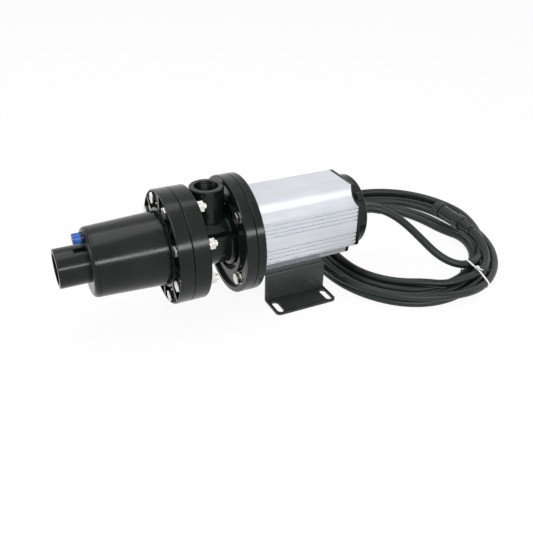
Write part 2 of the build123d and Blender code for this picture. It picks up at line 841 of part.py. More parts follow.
# Rear end plate with the rear bearing's pocket, its screws and the bearing preload spring
with BuildPart() as rear_end_plate:
    with BuildSketch(cross_section(housing_rear_x)):
        add(body_outline())
        with Locations(*cover_screw_places):
            Circle(cover_screw_radius, mode=Mode.SUBTRACT)
        with Locations(*lug_places):
            Circle(lug_screw_radius, mode=Mode.SUBTRACT)
        with Locations((0, wire_passage_rise)):
            Circle(wire_passage_radius, mode=Mode.SUBTRACT)
    extrude(amount=end_plate_thickness)
    add_ring(rear_bearing_x, housing_rear_x, 0, bearing_boss_radius)
    add_ring(
        rear_bearing_x,
        housing_rear_x + preload_spring_thickness,
        0,
        bearing_outer_radius + fit_gap,
        mode=Mode.SUBTRACT,
    )
    with Locations(cross_section(end_plate_rear_x - countersink_depth / 2)):
        with Locations(*cover_screw_places):
            Cone(cover_screw_radius, countersink_radius, countersink_depth, mode=Mode.SUBTRACT)
finish(rear_end_plate, "rear_end_plate")

with BuildPart() as preload_spring:
    add_ring(
        housing_rear_x,
        housing_rear_x + preload_spring_thickness,
        bearing_race_radius - 1,
        bearing_outer_radius,
    )
finish(preload_spring, "preload_spring")

with BuildPart() as rear_cover_screws:
    add_countersunk_screws(end_plate_rear_x, -1)
finish(rear_cover_screws, "rear_cover_screws")

# Terminal cover: a round cup with a screw lug towards each corner of the motor
lug_end_x = end_plate_rear_x + cover_lug_length
cover_wall_x = cover_end_x - terminal_cover_wall

with BuildPart() as terminal_cover:
    add_ring(end_plate_rear_x, cover_end_x, 0, terminal_cover_radius)
    fillet(terminal_cover.faces().sort_by(Axis.X)[-1].edges(), cover_edge_radius)
    add_discs(end_plate_rear_x, lug_end_x, cover_lug_radius, lug_places)
    with BuildSketch(cross_section(end_plate_rear_x)) as hollow:
        Circle(terminal_cover_radius - terminal_cover_wall)
        with Locations(*lug_places):
            Circle(cover_lug_radius, mode=Mode.SUBTRACT)
    extrude(hollow.sketch, amount=terminal_cover_length - terminal_cover_wall, mode=Mode.SUBTRACT)
    add_discs(lug_end_x, cover_end_x, lug_screw_head_radius + fit_gap, lug_places, Mode.SUBTRACT)
    add_discs(end_plate_rear_x, lug_end_x, lug_screw_radius, lug_places, Mode.SUBTRACT)
    add_ring(cover_wall_x, cover_end_x, 0, gland_thread_radius, gland_side, gland_rise, Mode.SUBTRACT)
finish(terminal_cover, "terminal_cover")

with BuildPart() as lug_screws:
    add_discs(lug_end_x - lug_screw_length, lug_end_x, lug_screw_radius, lug_places)
    add_discs(lug_end_x, lug_end_x + lug_screw_head_height, lug_screw_head_radius, lug_places)
finish(lug_screws, "lug_screws")

with BuildPart() as terminal_block:
    with BuildSketch(cross_section(end_plate_rear_x, rise=-terminal_block_drop)):
        Rectangle(terminal_block_width, terminal_block_height)
    extrude(amount=terminal_block_length)
    with BuildSketch(cross_section(end_plate_rear_x + terminal_block_length / 2, rise=-terminal_block_drop)):
        with GridLocations(terminal_block_width / terminal_count, 1, terminal_count, 1):
            Rectangle(terminal_block_width / terminal_count - 2, terminal_block_height / 2)
    extrude(amount=terminal_block_length, mode=Mode.SUBTRACT)
finish(terminal_block, "terminal_block")

# Foot: one bent sheet, with a top plate under the motor, two legs and two slotted feet
bracket_top = shaft_height - half_width
leg_outer = bracket_leg_span / 2
leg_inner = leg_outer - bracket_sheet
bracket_front_x = bracket_centre_x - bracket_length / 2

with BuildPart() as mounting_bracket:
    with BuildSketch(Plane(origin=(bracket_front_x, 0, 0), x_dir=(0, 1, 0), z_dir=(1, 0, 0))):
        with BuildLine():
            Polyline(
                (0, bracket_top),
                (leg_outer, bracket_top),
                (leg_outer, bracket_sheet),
                (foot_reach, bracket_sheet),
                (foot_reach, 0),
                (leg_inner, 0),
                (leg_inner, bracket_top - bracket_sheet),
                (0, bracket_top - bracket_sheet),
                close=True,
            )
        make_face()
        mirror(about=Plane.YZ)
    extrude(amount=bracket_length)
    outer_folds = mounting_bracket.edges().filter_by(Axis.X).filter_by(
        lambda edge: abs(abs(edge.center().Y) - leg_outer) < fit_gap and edge.center().Z > bracket_sheet + 1
        or abs(abs(edge.center().Y) - leg_inner) < fit_gap and edge.center().Z < 1
    )
    fillet(outer_folds, bracket_fold_radius)
    foot_corners = mounting_bracket.edges().filter_by(Axis.Z).filter_by(
        lambda edge: abs(edge.center().Y) > foot_reach - 1
    )
    fillet(foot_corners, foot_corner_radius)
    with BuildSketch():
        with Locations((bracket_centre_x, 0)):
            with GridLocations(slot_spacing_along, slot_spacing_across, 2, 2):
                SlotOverall(slot_length, slot_width, rotation=90)
    extrude(amount=bracket_sheet, mode=Mode.SUBTRACT)
    with BuildSketch(Plane.XY.offset(bracket_top - bracket_sheet)):
        with Locations((bracket_centre_x, 0)):
            with GridLocations(bracket_screw_spacing_along, bracket_screw_spacing_across, 2, 2):
                Circle(bracket_screw_radius)
    extrude(amount=bracket_sheet, mode=Mode.SUBTRACT)
finish(mounting_bracket, "mounting_bracket")

with BuildPart() as bracket_screws:
    screw_head_top = bracket_top - bracket_sheet
    with BuildSketch(Plane.XY.offset(screw_head_top)):
        with Locations((bracket_centre_x, 0)):
            with GridLocations(bracket_screw_spacing_along, bracket_screw_spacing_across, 2, 2):
                Circle(bracket_screw_radius)
    extrude(amount=bracket_sheet + bracket_screw_depth)
    with BuildSketch(Plane.XY.offset(screw_head_top - bracket_screw_head_height)):
        with Locations((bracket_centre_x, 0)):
            with GridLocations(bracket_screw_spacing_along, bracket_screw_spacing_across, 2, 2):
                Circle(bracket_screw_head_radius)
    extrude(amount=bracket_screw_head_height)
finish(bracket_screws, "bracket_screws")

# Cable gland: body and locknut on the cover, rubber seal and domed clamp nut round the cable
gland_hex_end_x = cover_end_x + gland_hex_length
gland_neck_end_x = gland_hex_end_x + gland_neck_length
nut_dome_x = gland_hex_end_x + gland_nut_hex_length
gland_tip_x = gland_hex_end_x + gland_nut_length
locknut_x = cover_wall_x - gland_locknut_length
seal_start_x = gland_neck_end_x
cable_bore_radius = cable_radius + cable_clearance
gland_place = [(gland_side, gland_rise)]
gland_axis = Axis((0, gland_side, shaft_height + gland_rise), (1, 0, 0))
gland_section = Plane(origin=(0, gland_side, shaft_height + gland_rise), x_dir=(1, 0, 0), z_dir=(0, -1, 0))

with BuildPart() as gland_body:
    add_ring(locknut_x, cover_end_x, 0, gland_thread_radius, gland_side, gland_rise)
    add_hexagons(cover_end_x, gland_hex_end_x, gland_flats, gland_place)
    add_ring(gland_hex_end_x, gland_neck_end_x, 0, gland_neck_radius, gland_side, gland_rise)
    add_ring(locknut_x, gland_neck_end_x, 0, cable_bore_radius, gland_side, gland_rise, Mode.SUBTRACT)
finish(gland_body, "gland_body")

with BuildPart() as gland_locknut:
    add_hexagons(locknut_x, cover_wall_x, gland_flats, gland_place)
    add_ring(locknut_x, cover_wall_x, 0, gland_thread_radius, gland_side, gland_rise, Mode.SUBTRACT)
finish(gland_locknut, "gland_locknut")

with BuildPart() as gland_seal:
    add_ring(
        seal_start_x,
        seal_start_x + gland_seal_length,
        cable_bore_radius,
        gland_seal_radius,
        gland_side,
        gland_rise,
    )
finish(gland_seal, "gland_seal")

with BuildPart() as gland_nut:
    add_hexagons(gland_hex_end_x, nut_dome_x, gland_nut_flats, gland_place)
    with BuildSketch(gland_section):
        with BuildLine():
            Polyline(
                (nut_dome_x, gland_nut_flats / 2),
                (nut_dome_x, 0),
                (gland_tip_x, 0),
                (gland_tip_x, gland_nut_tip_radius),
            )
            TangentArc((nut_dome_x, gland_nut_flats / 2), (gland_tip_x, gland_nut_tip_radius), tangent=(1, 0))
        make_face()
    revolve(axis=gland_axis)
    add_ring(gland_hex_end_x, gland_neck_end_x, 0, gland_neck_radius, gland_side, gland_rise, Mode.SUBTRACT)
    add_ring(
        seal_start_x,
        seal_start_x + gland_seal_length,
        0,
        gland_seal_radius,
        gland_side,
        gland_rise,
        Mode.SUBTRACT,
    )
    add_ring(gland_neck_end_x, gland_tip_x, 0, cable_bore_radius, gland_side, gland_rise, Mode.SUBTRACT)
finish(gland_nut, "gland_nut")

# Power cable: the stretch from the gland down to the coil on the floor
coil_height_total = 2 * cable_radius * coil_layers
gland_z = shaft_height + gland_rise
cable_route = [
    (gland_hex_end_x, gland_side, gland_z),
    (176, gland_side, gland_z),
    (204, -20, 76),
    (228, -48, 56),
    (250, -79, 34),
    (268, -108, 14),
]


def route_radii(points):
    """Largest arc that each corner of a route allows."""
    corners = [Vector(*point) for point in points]
    radii = []
    for before, corner, after in zip(corners, corners[1:], corners[2:]):
        shorter = min((corner - before).length, (after - corner).length)
        turn = math.radians((corner - before).get_angle(after - corner))
        radii.append(0.45 * shorter / math.tan(turn / 2))
    return radii


cable_radii = route_radii(cable_route)
print("cable arc radii", [round(radius, 1) for radius in cable_radii])

with BuildPart() as power_cable:
    with BuildLine() as cable_line:
        FilletPolyline(*cable_route, radius=cable_radii)
    with BuildSketch(Plane(cable_line.wire() @ 0, z_dir=cable_line.wire() % 0)):
        Circle(cable_radius)
    sweep(path=cable_line.wire())
finish(power_cable, "power_cable")
cable_length = cable_line.wire().length
section_volume = math.pi * cable_radius ** 2 * cable_length
print("cable length", round(cable_length, 1), "volume ratio", round(power_cable.part.volume / section_volume, 4))

# Coil: the outer shape of the loose turns, narrow where the tie gathers them
with BuildPart() as cable_coil:
    with BuildSketch():
        with Locations((coil_centre_x, coil_centre_y)):
            Ellipse(coil_long_radius, coil_short_radius, rotation=coil_tilt)
        with Locations((coil_inner_x, coil_inner_y)):
            Circle(coil_inner_radius, mode=Mode.SUBTRACT)
    extrude(amount=coil_height_total)
    fillet(cable_coil.faces().sort_by(Axis.Z)[-1].edges(), coil_edge_radius)
finish(cable_coil, "cable_coil")

# Tie: a band round the gathered turns, with its lock on top
tie_angle = math.radians(tie_direction)
across_tie = math.radians(tie_direction - coil_tilt)
coil_edge_at_tie = 1 / math.sqrt(
    (math.cos(across_tie) / coil_long_radius) ** 2 + (math.sin(across_tie) / coil_short_radius) ** 2
)
hole_offset = Vector(coil_inner_x - coil_centre_x, coil_inner_y - coil_centre_y)
hole_along_tie = hole_offset.dot(Vector(math.cos(tie_angle), math.sin(tie_angle)))
hole_across_tie = hole_offset.dot(Vector(math.sin(tie_angle), -math.cos(tie_angle)))
tie_inner_reach = hole_along_tie + math.sqrt(coil_inner_radius ** 2 - hole_across_tie ** 2)
tie_span = coil_edge_at_tie - tie_inner_reach
tie_middle = (coil_edge_at_tie + tie_inner_reach) / 2
tie_plane = Plane(
    origin=(
        coil_centre_x + tie_middle * math.cos(tie_angle),
        coil_centre_y + tie_middle * math.sin(tie_angle),
        coil_height_total / 2,
    ),
    x_dir=(math.cos(tie_angle), math.sin(tie_angle), 0),
    z_dir=(math.sin(tie_angle), -math.cos(tie_angle), 0),
)

with BuildPart() as cable_tie:
    with BuildSketch(tie_plane):
        with Locations((0, tie_sheet / 2)):
            RectangleRounded(tie_span + 2 * tie_sheet, coil_height_total + tie_sheet, coil_edge_radius)
            RectangleRounded(tie_span, coil_height_total - tie_sheet, coil_edge_radius - tie_sheet, mode=Mode.SUBTRACT)
    extrude(amount=tie_width / 2, both=True)
    with Locations(tie_plane):
        with Locations((tie_span / 4, coil_height_total / 2 + tie_sheet + tie_head_height / 2, 0)):
            Box(tie_head_length, tie_head_height, tie_head_length)
finish(cable_tie, "cable_tie")

# Connector on the cable's far end, lying on the coil
connector_heading_angle = math.radians(connector_heading)
connector_plane = Plane(
    origin=(connector_x, connector_y, coil_height_total + connector_collar_radius),
    z_dir=(math.cos(connector_heading_angle), math.sin(connector_heading_angle), 0),
)

with BuildPart() as cable_connector:
    with BuildSketch(connector_plane):
        Circle(connector_radius)
    extrude(amount=connector_length / 2, both=True)
    for collar_start in (-connector_length / 2, connector_length / 2 - connector_collar_length):
        with BuildSketch(connector_plane.offset(collar_start)):
            Circle(connector_collar_radius)
        extrude(amount=connector_collar_length)
    with BuildSketch(connector_plane.offset(-connector_length / 2 - connector_tail_length)):
        Circle(connector_tail_radius)
    with BuildSketch(connector_plane.offset(-connector_length / 2)):
        Circle(connector_radius)
    loft()
finish(cable_connector, "cable_connector")
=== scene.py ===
"""The looks of a solar surface pump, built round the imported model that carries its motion."""

import logging
import math
from dataclasses import dataclass, field
from enum import Enum
from typing import Callable, Optional, Sequence

import bmesh
import bpy
from mathutils import Matrix, Vector


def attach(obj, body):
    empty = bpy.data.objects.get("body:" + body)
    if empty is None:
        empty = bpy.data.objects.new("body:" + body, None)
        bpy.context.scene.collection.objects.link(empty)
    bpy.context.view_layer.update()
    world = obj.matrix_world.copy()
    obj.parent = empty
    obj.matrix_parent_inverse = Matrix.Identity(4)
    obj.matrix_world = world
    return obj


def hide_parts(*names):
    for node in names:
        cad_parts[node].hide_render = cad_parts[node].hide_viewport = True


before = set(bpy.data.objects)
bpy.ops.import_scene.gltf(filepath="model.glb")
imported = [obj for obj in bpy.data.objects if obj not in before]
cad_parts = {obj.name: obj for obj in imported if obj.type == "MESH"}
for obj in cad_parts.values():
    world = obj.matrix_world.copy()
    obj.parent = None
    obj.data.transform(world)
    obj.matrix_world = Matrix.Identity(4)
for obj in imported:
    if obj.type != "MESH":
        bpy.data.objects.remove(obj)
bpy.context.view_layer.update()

log = logging.getLogger("pump")
MM = 0.001
PUMP_BODY = "pump_body"
NOISE_ROUGHNESS = 0.55
WAVE_RATE = 20 / (2 * math.pi)

Colour = tuple[float, float, float, float]
Point = tuple[float, float, float]
Tree = bpy.types.NodeTree
Socket = bpy.types.NodeSocket


def linear(sheet_colour: str) -> Colour:
    """Turn an sRGB colour into the linear values that shaders use.

    Args:
        sheet_colour: the colour as six hex digits after a hash sign.

    Returns:
        Linear red, green and blue, and an alpha of one.
    """
    channels = [int(sheet_colour[place : place + 2], 16) / 255 for place in (1, 3, 5)]
    return tuple(c / 12.92 if c <= 0.04045 else ((c + 0.055) / 1.055) ** 2.4 for c in channels) + (1.0,)


def per_metre(size_mm: float) -> float:
    """Texture scale that gives one feature per size_mm millimetres."""
    return 1000 / size_mm


def add_node(tree: Tree, kind: str, settings: Optional[dict] = None, **inputs: object) -> bpy.types.Node:
    """Add one shader node with its settings, its values and the links into it.

    Args:
        tree: the node tree that gets the node.
        kind: Blender's node type, without the word ShaderNode.
        settings: properties of the node by name.
        inputs: values or output sockets by input name, with _ for a space, or in_N for input number N.

    Returns:
        The new node.
    """
    node = tree.nodes.new("ShaderNode" + kind)
    for name, value in (settings or {}).items():
        setattr(node, name, value)
    for name, value in inputs.items():
        numbered = name.startswith("in_")
        socket = node.inputs[int(name[3:]) if numbered else name.replace("_", " ")]
        if isinstance(value, Socket):
            tree.links.new(value, socket)
        else:
            socket.default_value = value
    return node


def grey(level: float) -> Colour:
    """Linear grey of one level."""
    return (level, level, level, 1.0)


class Lay(Enum):
    """Which way the marks of making run on a surface."""

    NONE = (1.0, 1.0, 1.0)
    ALONG_SHAFT = (0.02, 1.0, 1.0)
    ROUND_SHAFT = (1.0, 0.04, 0.04)


@dataclass(frozen=True)
class Finish:
    """What a real material and the way its surface was made give the eye."""

    name: str
    colour: str
    second_colour: str
    roughness: float
    roughness_spread: float
    grain_mm: float
    grain_depth_mm: float
    mottle_mm: float
    metallic: float = 0.0
    ior: float = 1.5
    lay: Lay = Lay.NONE
    coat: float = 0.0
    coat_roughness: float = 0.1
    edge_mm: float = 0.4
    # Painted highlight on sharp edges and folds: its colour, strength, breakup, start and full level
    edge_highlight_colour: str = ""
    edge_highlight: float = 0.0
    grain_share: float = 0.45
    first_colour_at: float = 0.45
    second_colour_at: float = 0.95
    smoothest: float = 0.03
    highlight_breakup: float = 0.12
    highlight_starts: float = 0.60
    highlight_full: float = 0.70

    def material(self) -> bpy.types.Material:
        """Build the procedural material once and return it.

        Returns:
            The material of this finish.
        """
        found = bpy.data.materials.get(self.name)
        if found:
            return found
        made = bpy.data.materials.new(self.name)
        made.use_nodes = True
        tree = made.node_tree
        tree.nodes.clear()
        place = add_node(tree, "TexCoord").outputs["Object"]
        stretched = add_node(tree, "Mapping", Vector=place, Scale=self.lay.value).outputs["Vector"]
        mottle = add_node(
            tree,
            "TexNoise",
            Vector=place,
            Scale=per_metre(self.mottle_mm),
            Detail=3.0,
            Roughness=NOISE_ROUGHNESS,
        ).outputs["Fac"]
        grain = add_node(
            tree,
            "TexNoise",
            Vector=stretched,
            Scale=per_metre(self.grain_mm),
            Detail=4.0,
            Roughness=NOISE_ROUGHNESS,
        ).outputs["Fac"]
        mixed = add_node(
            tree, "Math", {"operation": "MULTIPLY_ADD"}, in_0=grain, in_1=self.grain_share, in_2=mottle
        ).outputs[0]
        share = add_node(
            tree, "MapRange", Value=mixed, From_Min=self.first_colour_at, From_Max=self.second_colour_at
        ).outputs["Result"]
        base = add_node(
            tree,
            "Mix",
            {"data_type": "RGBA"},
            in_0=share,
            in_6=linear(self.colour),
            in_7=linear(self.second_colour),
        ).outputs[2]
        rough = add_node(
            tree,
            "MapRange",
            Value=share,
            To_Min=max(self.smoothest, self.roughness - self.roughness_spread),
            To_Max=self.roughness + self.roughness_spread,
        ).outputs["Result"]
        # Painted highlight: a lighter colour on the sharp edges
        if self.edge_highlight:
            base = self.painted_edge_highlight(tree, base, grain)
        base, rough = self.extra(tree, place, base, rough)
        soft_edge = add_node(tree, "Bevel", {"samples": 4}, Radius=self.edge_mm * MM).outputs["Normal"]
        relief = add_node(
            tree,
            "Bump",
            Height=self.relief(tree, place, grain),
            Distance=self.grain_depth_mm * MM,
            Normal=soft_edge,
        )
        shader = add_node(
            tree,
            "BsdfPrincipled",
            Base_Color=base,
            Roughness=rough,
            Metallic=self.metallic,
            IOR=self.ior,
            Normal=relief.outputs["Normal"],
            Coat_Weight=self.coat,
            Coat_Roughness=self.coat_roughness,
        )
        add_node(tree, "OutputMaterial", Surface=shader.outputs[0])
        return made

    def relief(self, tree: Tree, place: Socket, grain: Socket) -> Socket:
        """Height of the surface's relief, which a finish may replace with its own."""
        return grain

    def extra(self, tree: Tree, place: Socket, base: Socket, rough: Socket) -> tuple[Socket, Socket]:
        """Colour and roughness after what only this finish has."""
        return base, rough

    def painted_edge_highlight(self, tree: Tree, base: Socket, grain: Socket) -> Socket:
        """Paint a highlight in a lighter colour on the sharp edges.

        Args:
            tree: the node tree.
            base: the colour before the painted highlight.
            grain: noise that breaks the painted highlight up.

        Returns:
            The colour with a painted highlight on its edges.
        """
        sharp = add_node(tree, "NewGeometry").outputs["Pointiness"]
        broken = add_node(
            tree, "Math", {"operation": "MULTIPLY_ADD"}, in_0=grain, in_1=self.highlight_breakup, in_2=sharp
        ).outputs[0]
        highlight_mask = add_node(
            tree,
            "MapRange",
            Value=broken,
            From_Min=self.highlight_starts,
            From_Max=self.highlight_full,
            To_Min=0.0,
            To_Max=self.edge_highlight,
        ).outputs["Result"]
        return add_node(
            tree, "Mix", {"data_type": "RGBA"}, in_0=highlight_mask, in_6=base, in_7=linear(self.edge_highlight_colour)
        ).outputs[2]


@dataclass(frozen=True)
class MouldedNylon(Finish):
    """Glass-filled nylon: a fine spark-eroded skin, with the port's cut thread drawn as relief."""

    thread_pitch_mm: float = 2.309
    thread_radius_mm: float = 15.4
    thread_depth: float = 9.0
    port_x_mm: float = -72.0
    thread_bottom_mm: float = 141.5

    def relief(self, tree: Tree, place: Socket, grain: Socket) -> Socket:
        """Fine moulding grain, and helical ridges on the wall of the upright port.

        Args:
            tree: the node tree.
            place: object coordinates in metres.
            grain: the moulding grain.

        Returns:
            The height socket.
        """
        climb_rate = 2 * math.pi / (self.thread_pitch_mm * MM)
        split = add_node(tree, "SeparateXYZ", Vector=place).outputs
        across = add_node(
            tree, "Math", {"operation": "SUBTRACT"}, in_0=split[0], in_1=self.port_x_mm * MM
        ).outputs[0]
        turn = add_node(tree, "Math", {"operation": "ARCTAN2"}, in_0=split[1], in_1=across).outputs[0]
        climb = add_node(tree, "Math", {"operation": "MULTIPLY"}, in_0=split[2], in_1=climb_rate).outputs[0]
        phase = add_node(tree, "Math", {"operation": "SUBTRACT"}, in_0=climb, in_1=turn).outputs[0]
        ridge = add_node(tree, "Math", {"operation": "SINE"}, in_0=phase).outputs[0]
        squares = [
            add_node(tree, "Math", {"operation": "MULTIPLY"}, in_0=part, in_1=part).outputs[0]
            for part in (across, split[1])
        ]
        reach = add_node(tree, "Math", {"operation": "ADD"}, in_0=squares[0], in_1=squares[1]).outputs[0]
        inside = add_node(
            tree, "Math", {"operation": "LESS_THAN"}, in_0=reach, in_1=(self.thread_radius_mm * MM) ** 2
        ).outputs[0]
        above = add_node(
            tree, "Math", {"operation": "GREATER_THAN"}, in_0=split[2], in_1=self.thread_bottom_mm * MM
        ).outputs[0]
        zone = add_node(tree, "Math", {"operation": "MULTIPLY"}, in_0=inside, in_1=above).outputs[0]
        thread = add_node(tree, "Math", {"operation": "MULTIPLY"}, in_0=ridge, in_1=zone).outputs[0]
        return add_node(
            tree, "Math", {"operation": "MULTIPLY_ADD"}, in_0=thread, in_1=self.thread_depth, in_2=grain
        ).outputs[0]


@dataclass(frozen=True)
class ExtrudedAluminium(Finish):
    """Anodised extrusion: die lines run along the shaft and each line reflects a little differently."""

    die_line_mm: float = 1.4
    line_stretch: Point = (0.004, 1.0, 1.0)
    line_colour: str = "#8f9398"
    line_shade: float = 0.16
    line_dark_at: float = 0.35
    line_gone_at: float = 0.62
    line_roughness: float = 0.08

    def extra(self, tree: Tree, place: Socket, base: Socket, rough: Socket) -> tuple[Socket, Socket]:
        """Darken the die lines and vary their gloss.

        Args:
            tree: the node tree.
            place: object coordinates in metres.
            base: the colour before the lines.
            rough: the roughness before the lines.

        Returns:
            Colour and roughness with the lines.
        """
        drawn = add_node(tree, "Mapping", Vector=place, Scale=self.line_stretch).outputs["Vector"]
        lines = add_node(
            tree,
            "TexNoise",
            Vector=drawn,
            Scale=per_metre(self.die_line_mm),
            Detail=5.0,
            Roughness=NOISE_ROUGHNESS,
        ).outputs["Fac"]
        shade = add_node(
            tree,
            "MapRange",
            Value=lines,
            From_Min=self.line_dark_at,
            From_Max=self.line_gone_at,
            To_Min=self.line_shade,
            To_Max=0.0,
        ).outputs["Result"]
        colour = add_node(
            tree, "Mix", {"data_type": "RGBA"}, in_0=shade, in_6=base, in_7=linear(self.line_colour)
        ).outputs[2]
        rough = add_node(
            tree, "Math", {"operation": "MULTIPLY_ADD"}, in_0=lines, in_1=self.line_roughness, in_2=rough
        ).outputs[0]
        return colour, rough


@dataclass(frozen=True)
class BandedFinish(Finish):
    """A finish with bands across the shaft, such as stacked sheets or laid wire."""

    band_mm: float = 6.0
    band_waver: float = 0.3
    # Painted shade in the grooves between the bands: its colour, strength and share
    groove_shade_colour: str = "#26282b"
    groove_shade: float = 0.5
    groove_share: float = 0.5

    def bands(self, tree: Tree, place: Socket) -> Socket:
        """Height of the bands."""
        return add_node(
            tree,
            "TexWave",
            {"bands_direction": "X"},
            Vector=place,
            Scale=per_metre(self.band_mm) / WAVE_RATE,
            Distortion=self.band_waver,
            Detail=1.0,
        ).outputs["Fac"]

    def relief(self, tree: Tree, place: Socket, grain: Socket) -> Socket:
        """Relief of the bands."""
        return self.bands(tree, place)

    def extra(self, tree: Tree, place: Socket, base: Socket, rough: Socket) -> tuple[Socket, Socket]:
        """Painted shade: colour darker between the bands."""
        bands = self.bands(tree, place)
        shade = add_node(
            tree, "MapRange", Value=bands, From_Max=self.groove_share, To_Min=self.groove_shade, To_Max=0.0
        ).outputs["Result"]
        colour = add_node(
            tree, "Mix", {"data_type": "RGBA"}, in_0=shade, in_6=base, in_7=linear(self.groove_shade_colour)
        ).outputs[2]
        return colour, rough


# In each finish the numbers are roughness and its spread, then grain size, grain depth and mottle in mm
# Glass-filled nylon, moulded: near black with a green cast, satin, and greyer where the glass comes up
BLACK_NYLON = MouldedNylon(
    "black_glass_filled_nylon_moulded", "#050a08", "#111a16", 0.17, 0.05, 0.9, 0.02, 38,
    ior=1.34,
)
# Pigmented acetal, moulded: saturated, waxy and smooth
BLUE_ACETAL = Finish("blue_acetal_moulded", "#0e479b", "#2465bd", 0.3, 0.05, 0.8, 0.02, 9, ior=1.48)
# Aluminium 6063, extruded and clear anodised: pale satin grey drawn along the shaft
ALUMINIUM = ExtrudedAluminium(
    "extruded_aluminium_clear_anodised", "#cdd0d6", "#dadde2", 0.38, 0.04, 0.8, 0.02, 60,
    metallic=0.8, lay=Lay.ALONG_SHAFT, edge_mm=0.5,
)
# Folded mild steel, powder coated: a fine orange peel, with a painted highlight in a lighter colour on the
# folds
BLACK_POWDER_COAT = Finish(
    "folded_steel_black_powder_coat", "#070d0b", "#131c18", 0.26, 0.07, 1.6, 0.04, 25,
    ior=1.38, edge_highlight_colour="#565b59", edge_highlight=0.3,
)
# Bright zinc on machined steel: blue-white, lightly hazed, with a warmer tone in patches
BRIGHT_ZINC = Finish(
    "machined_steel_bright_zinc", "#cfd0c9", "#e6e5df", 0.24, 0.08, 0.5, 0.02, 5,
    metallic=1.0, edge_mm=0.35,
)
# Ground stainless steel: fine rings round the shaft from the wheel
GROUND_STEEL = Finish(
    "stainless_steel_ground", "#9fa2a5", "#c2c5c8", 0.26, 0.08, 0.35, 0.015, 12,
    metallic=1.0, lay=Lay.ROUND_SHAFT,
)
# Hard chrome on steel, polished: nearly a mirror, with faint polishing haze
HARD_CHROME = Finish(
    "steel_hard_chrome_polished", "#ccd0d4", "#e2e5e8", 0.1, 0.04, 0.6, 0.006, 14,
    metallic=1.0,
)
# Stacked electrical steel: dull blue-grey. Its 0.5 mm sheets are drawn coarser, in bands 6.3 mm apart, with
# painted shade between them
LAMINATIONS = BandedFinish(
    "electrical_steel_laminations", "#5c6066", "#7b8087", 0.45, 0.08, 0.7, 0.06, 10,
    metallic=0.9, band_mm=6.283185,
)
# Nickel-plated magnets: warm dull mirror
MAGNETS = Finish("magnet_nickel_plated", "#8d8c86", "#aaa9a2", 0.3, 0.07, 0.7, 0.015, 8, metallic=1.0)
# Enamelled copper wire, wound: a warm gloss. Its 0.9 mm strands are drawn coarser, in bands 5.7 mm apart,
# with painted shade between them
COPPER_WIRE = BandedFinish(
    "copper_wire_enamelled", "#9c4a1d", "#c26a34", 0.28, 0.06, 0.8, 0.25, 9,
    metallic=0.9, band_mm=5.654867, groove_shade_colour="#3a1608", groove_shade=0.75, coat=0.5,
)
# Resin-bonded carbon, lapped: dead black and slightly silky
CARBON = Finish("carbon_lapped", "#1c1c1e", "#303033", 0.4, 0.08, 0.4, 0.01, 6)
# Alumina ceramic, lapped: warm white and glossy
ALUMINA = Finish("alumina_ceramic_lapped", "#dcd8cc", "#eeebe1", 0.22, 0.05, 0.5, 0.01, 9, ior=1.76)
# Nitrile rubber, moulded: matt black with a dusty bloom
NITRILE = Finish("nitrile_rubber_moulded", "#131313", "#252524", 0.62, 0.1, 0.6, 0.04, 11, ior=1.52)
# Grey nylon, moulded: smooth and slightly translucent looking
GREY_NYLON = Finish("grey_nylon_moulded", "#454a4c", "#5d6365", 0.36, 0.06, 0.7, 0.03, 12)
# Rubber cable sheath, extruded: charcoal and silky, mottled with dust
CABLE_RUBBER = Finish("rubber_sheath_extruded", "#0c1411", "#1b2622", 0.38, 0.09, 1.5, 0.12, 24, ior=1.4)
# Black nylon of the connector, moulded: smoother and glossier than the sheath
CONNECTOR_NYLON = Finish(
    "black_connector_nylon_moulded", "#0a100e", "#18211d", 0.26, 0.06, 0.7, 0.03, 10,
    ior=1.42,
)
# Natural nylon, moulded: milky white and waxy
NATURAL_NYLON = Finish("natural_nylon_moulded", "#dedfda", "#f1f1ed", 0.38, 0.06, 0.8, 0.03, 8)


@dataclass
class PackedGroup:
    """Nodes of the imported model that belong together, dressed where they stand."""

    finishes: dict[Finish, Sequence[str]]

    def dress(self) -> None:
        """Give every node of the group its finish by slot."""
        for finish, names in self.finishes.items():
            made = finish.material()
            for name in names:
                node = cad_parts[name]
                if not node.material_slots:
                    node.data.materials.append(made)
                for material_slot in node.material_slots:
                    material_slot.material = made
                log.info("dressed %s with %s", name, finish.name)


@dataclass
class PumpEnd(PackedGroup):
    """Discharge chamber with its plug, stator, suction housing and the bolts of both flanges."""

    finishes: dict[Finish, Sequence[str]] = field(
        default_factory=lambda: {
            BLACK_NYLON: ("discharge_chamber", "suction_housing"),
            BLUE_ACETAL: ("vent_plug",),
            GROUND_STEEL: ("stator_tube",),
            NITRILE: ("vent_seal", "stator_rubber", "flange_gasket"),
            BRIGHT_ZINC: (
                "flange_bolts",
                "flange_washers",
                "flange_nuts",
                "adapter_bolts",
                "adapter_washers",
            ),
        }
    )


@dataclass
class DriveLine(PackedGroup):
    """Rotor, connecting rod, coupling and shaft seal."""

    finishes: dict[Finish, Sequence[str]] = field(
        default_factory=lambda: {
            HARD_CHROME: ("helical_rotor",),
            GROUND_STEEL: ("connecting_rod", "shaft_coupling", "motor_shaft", "seal_spring"),
            CARBON: ("seal_ring",),
            ALUMINA: ("seal_seat",),
        }
    )


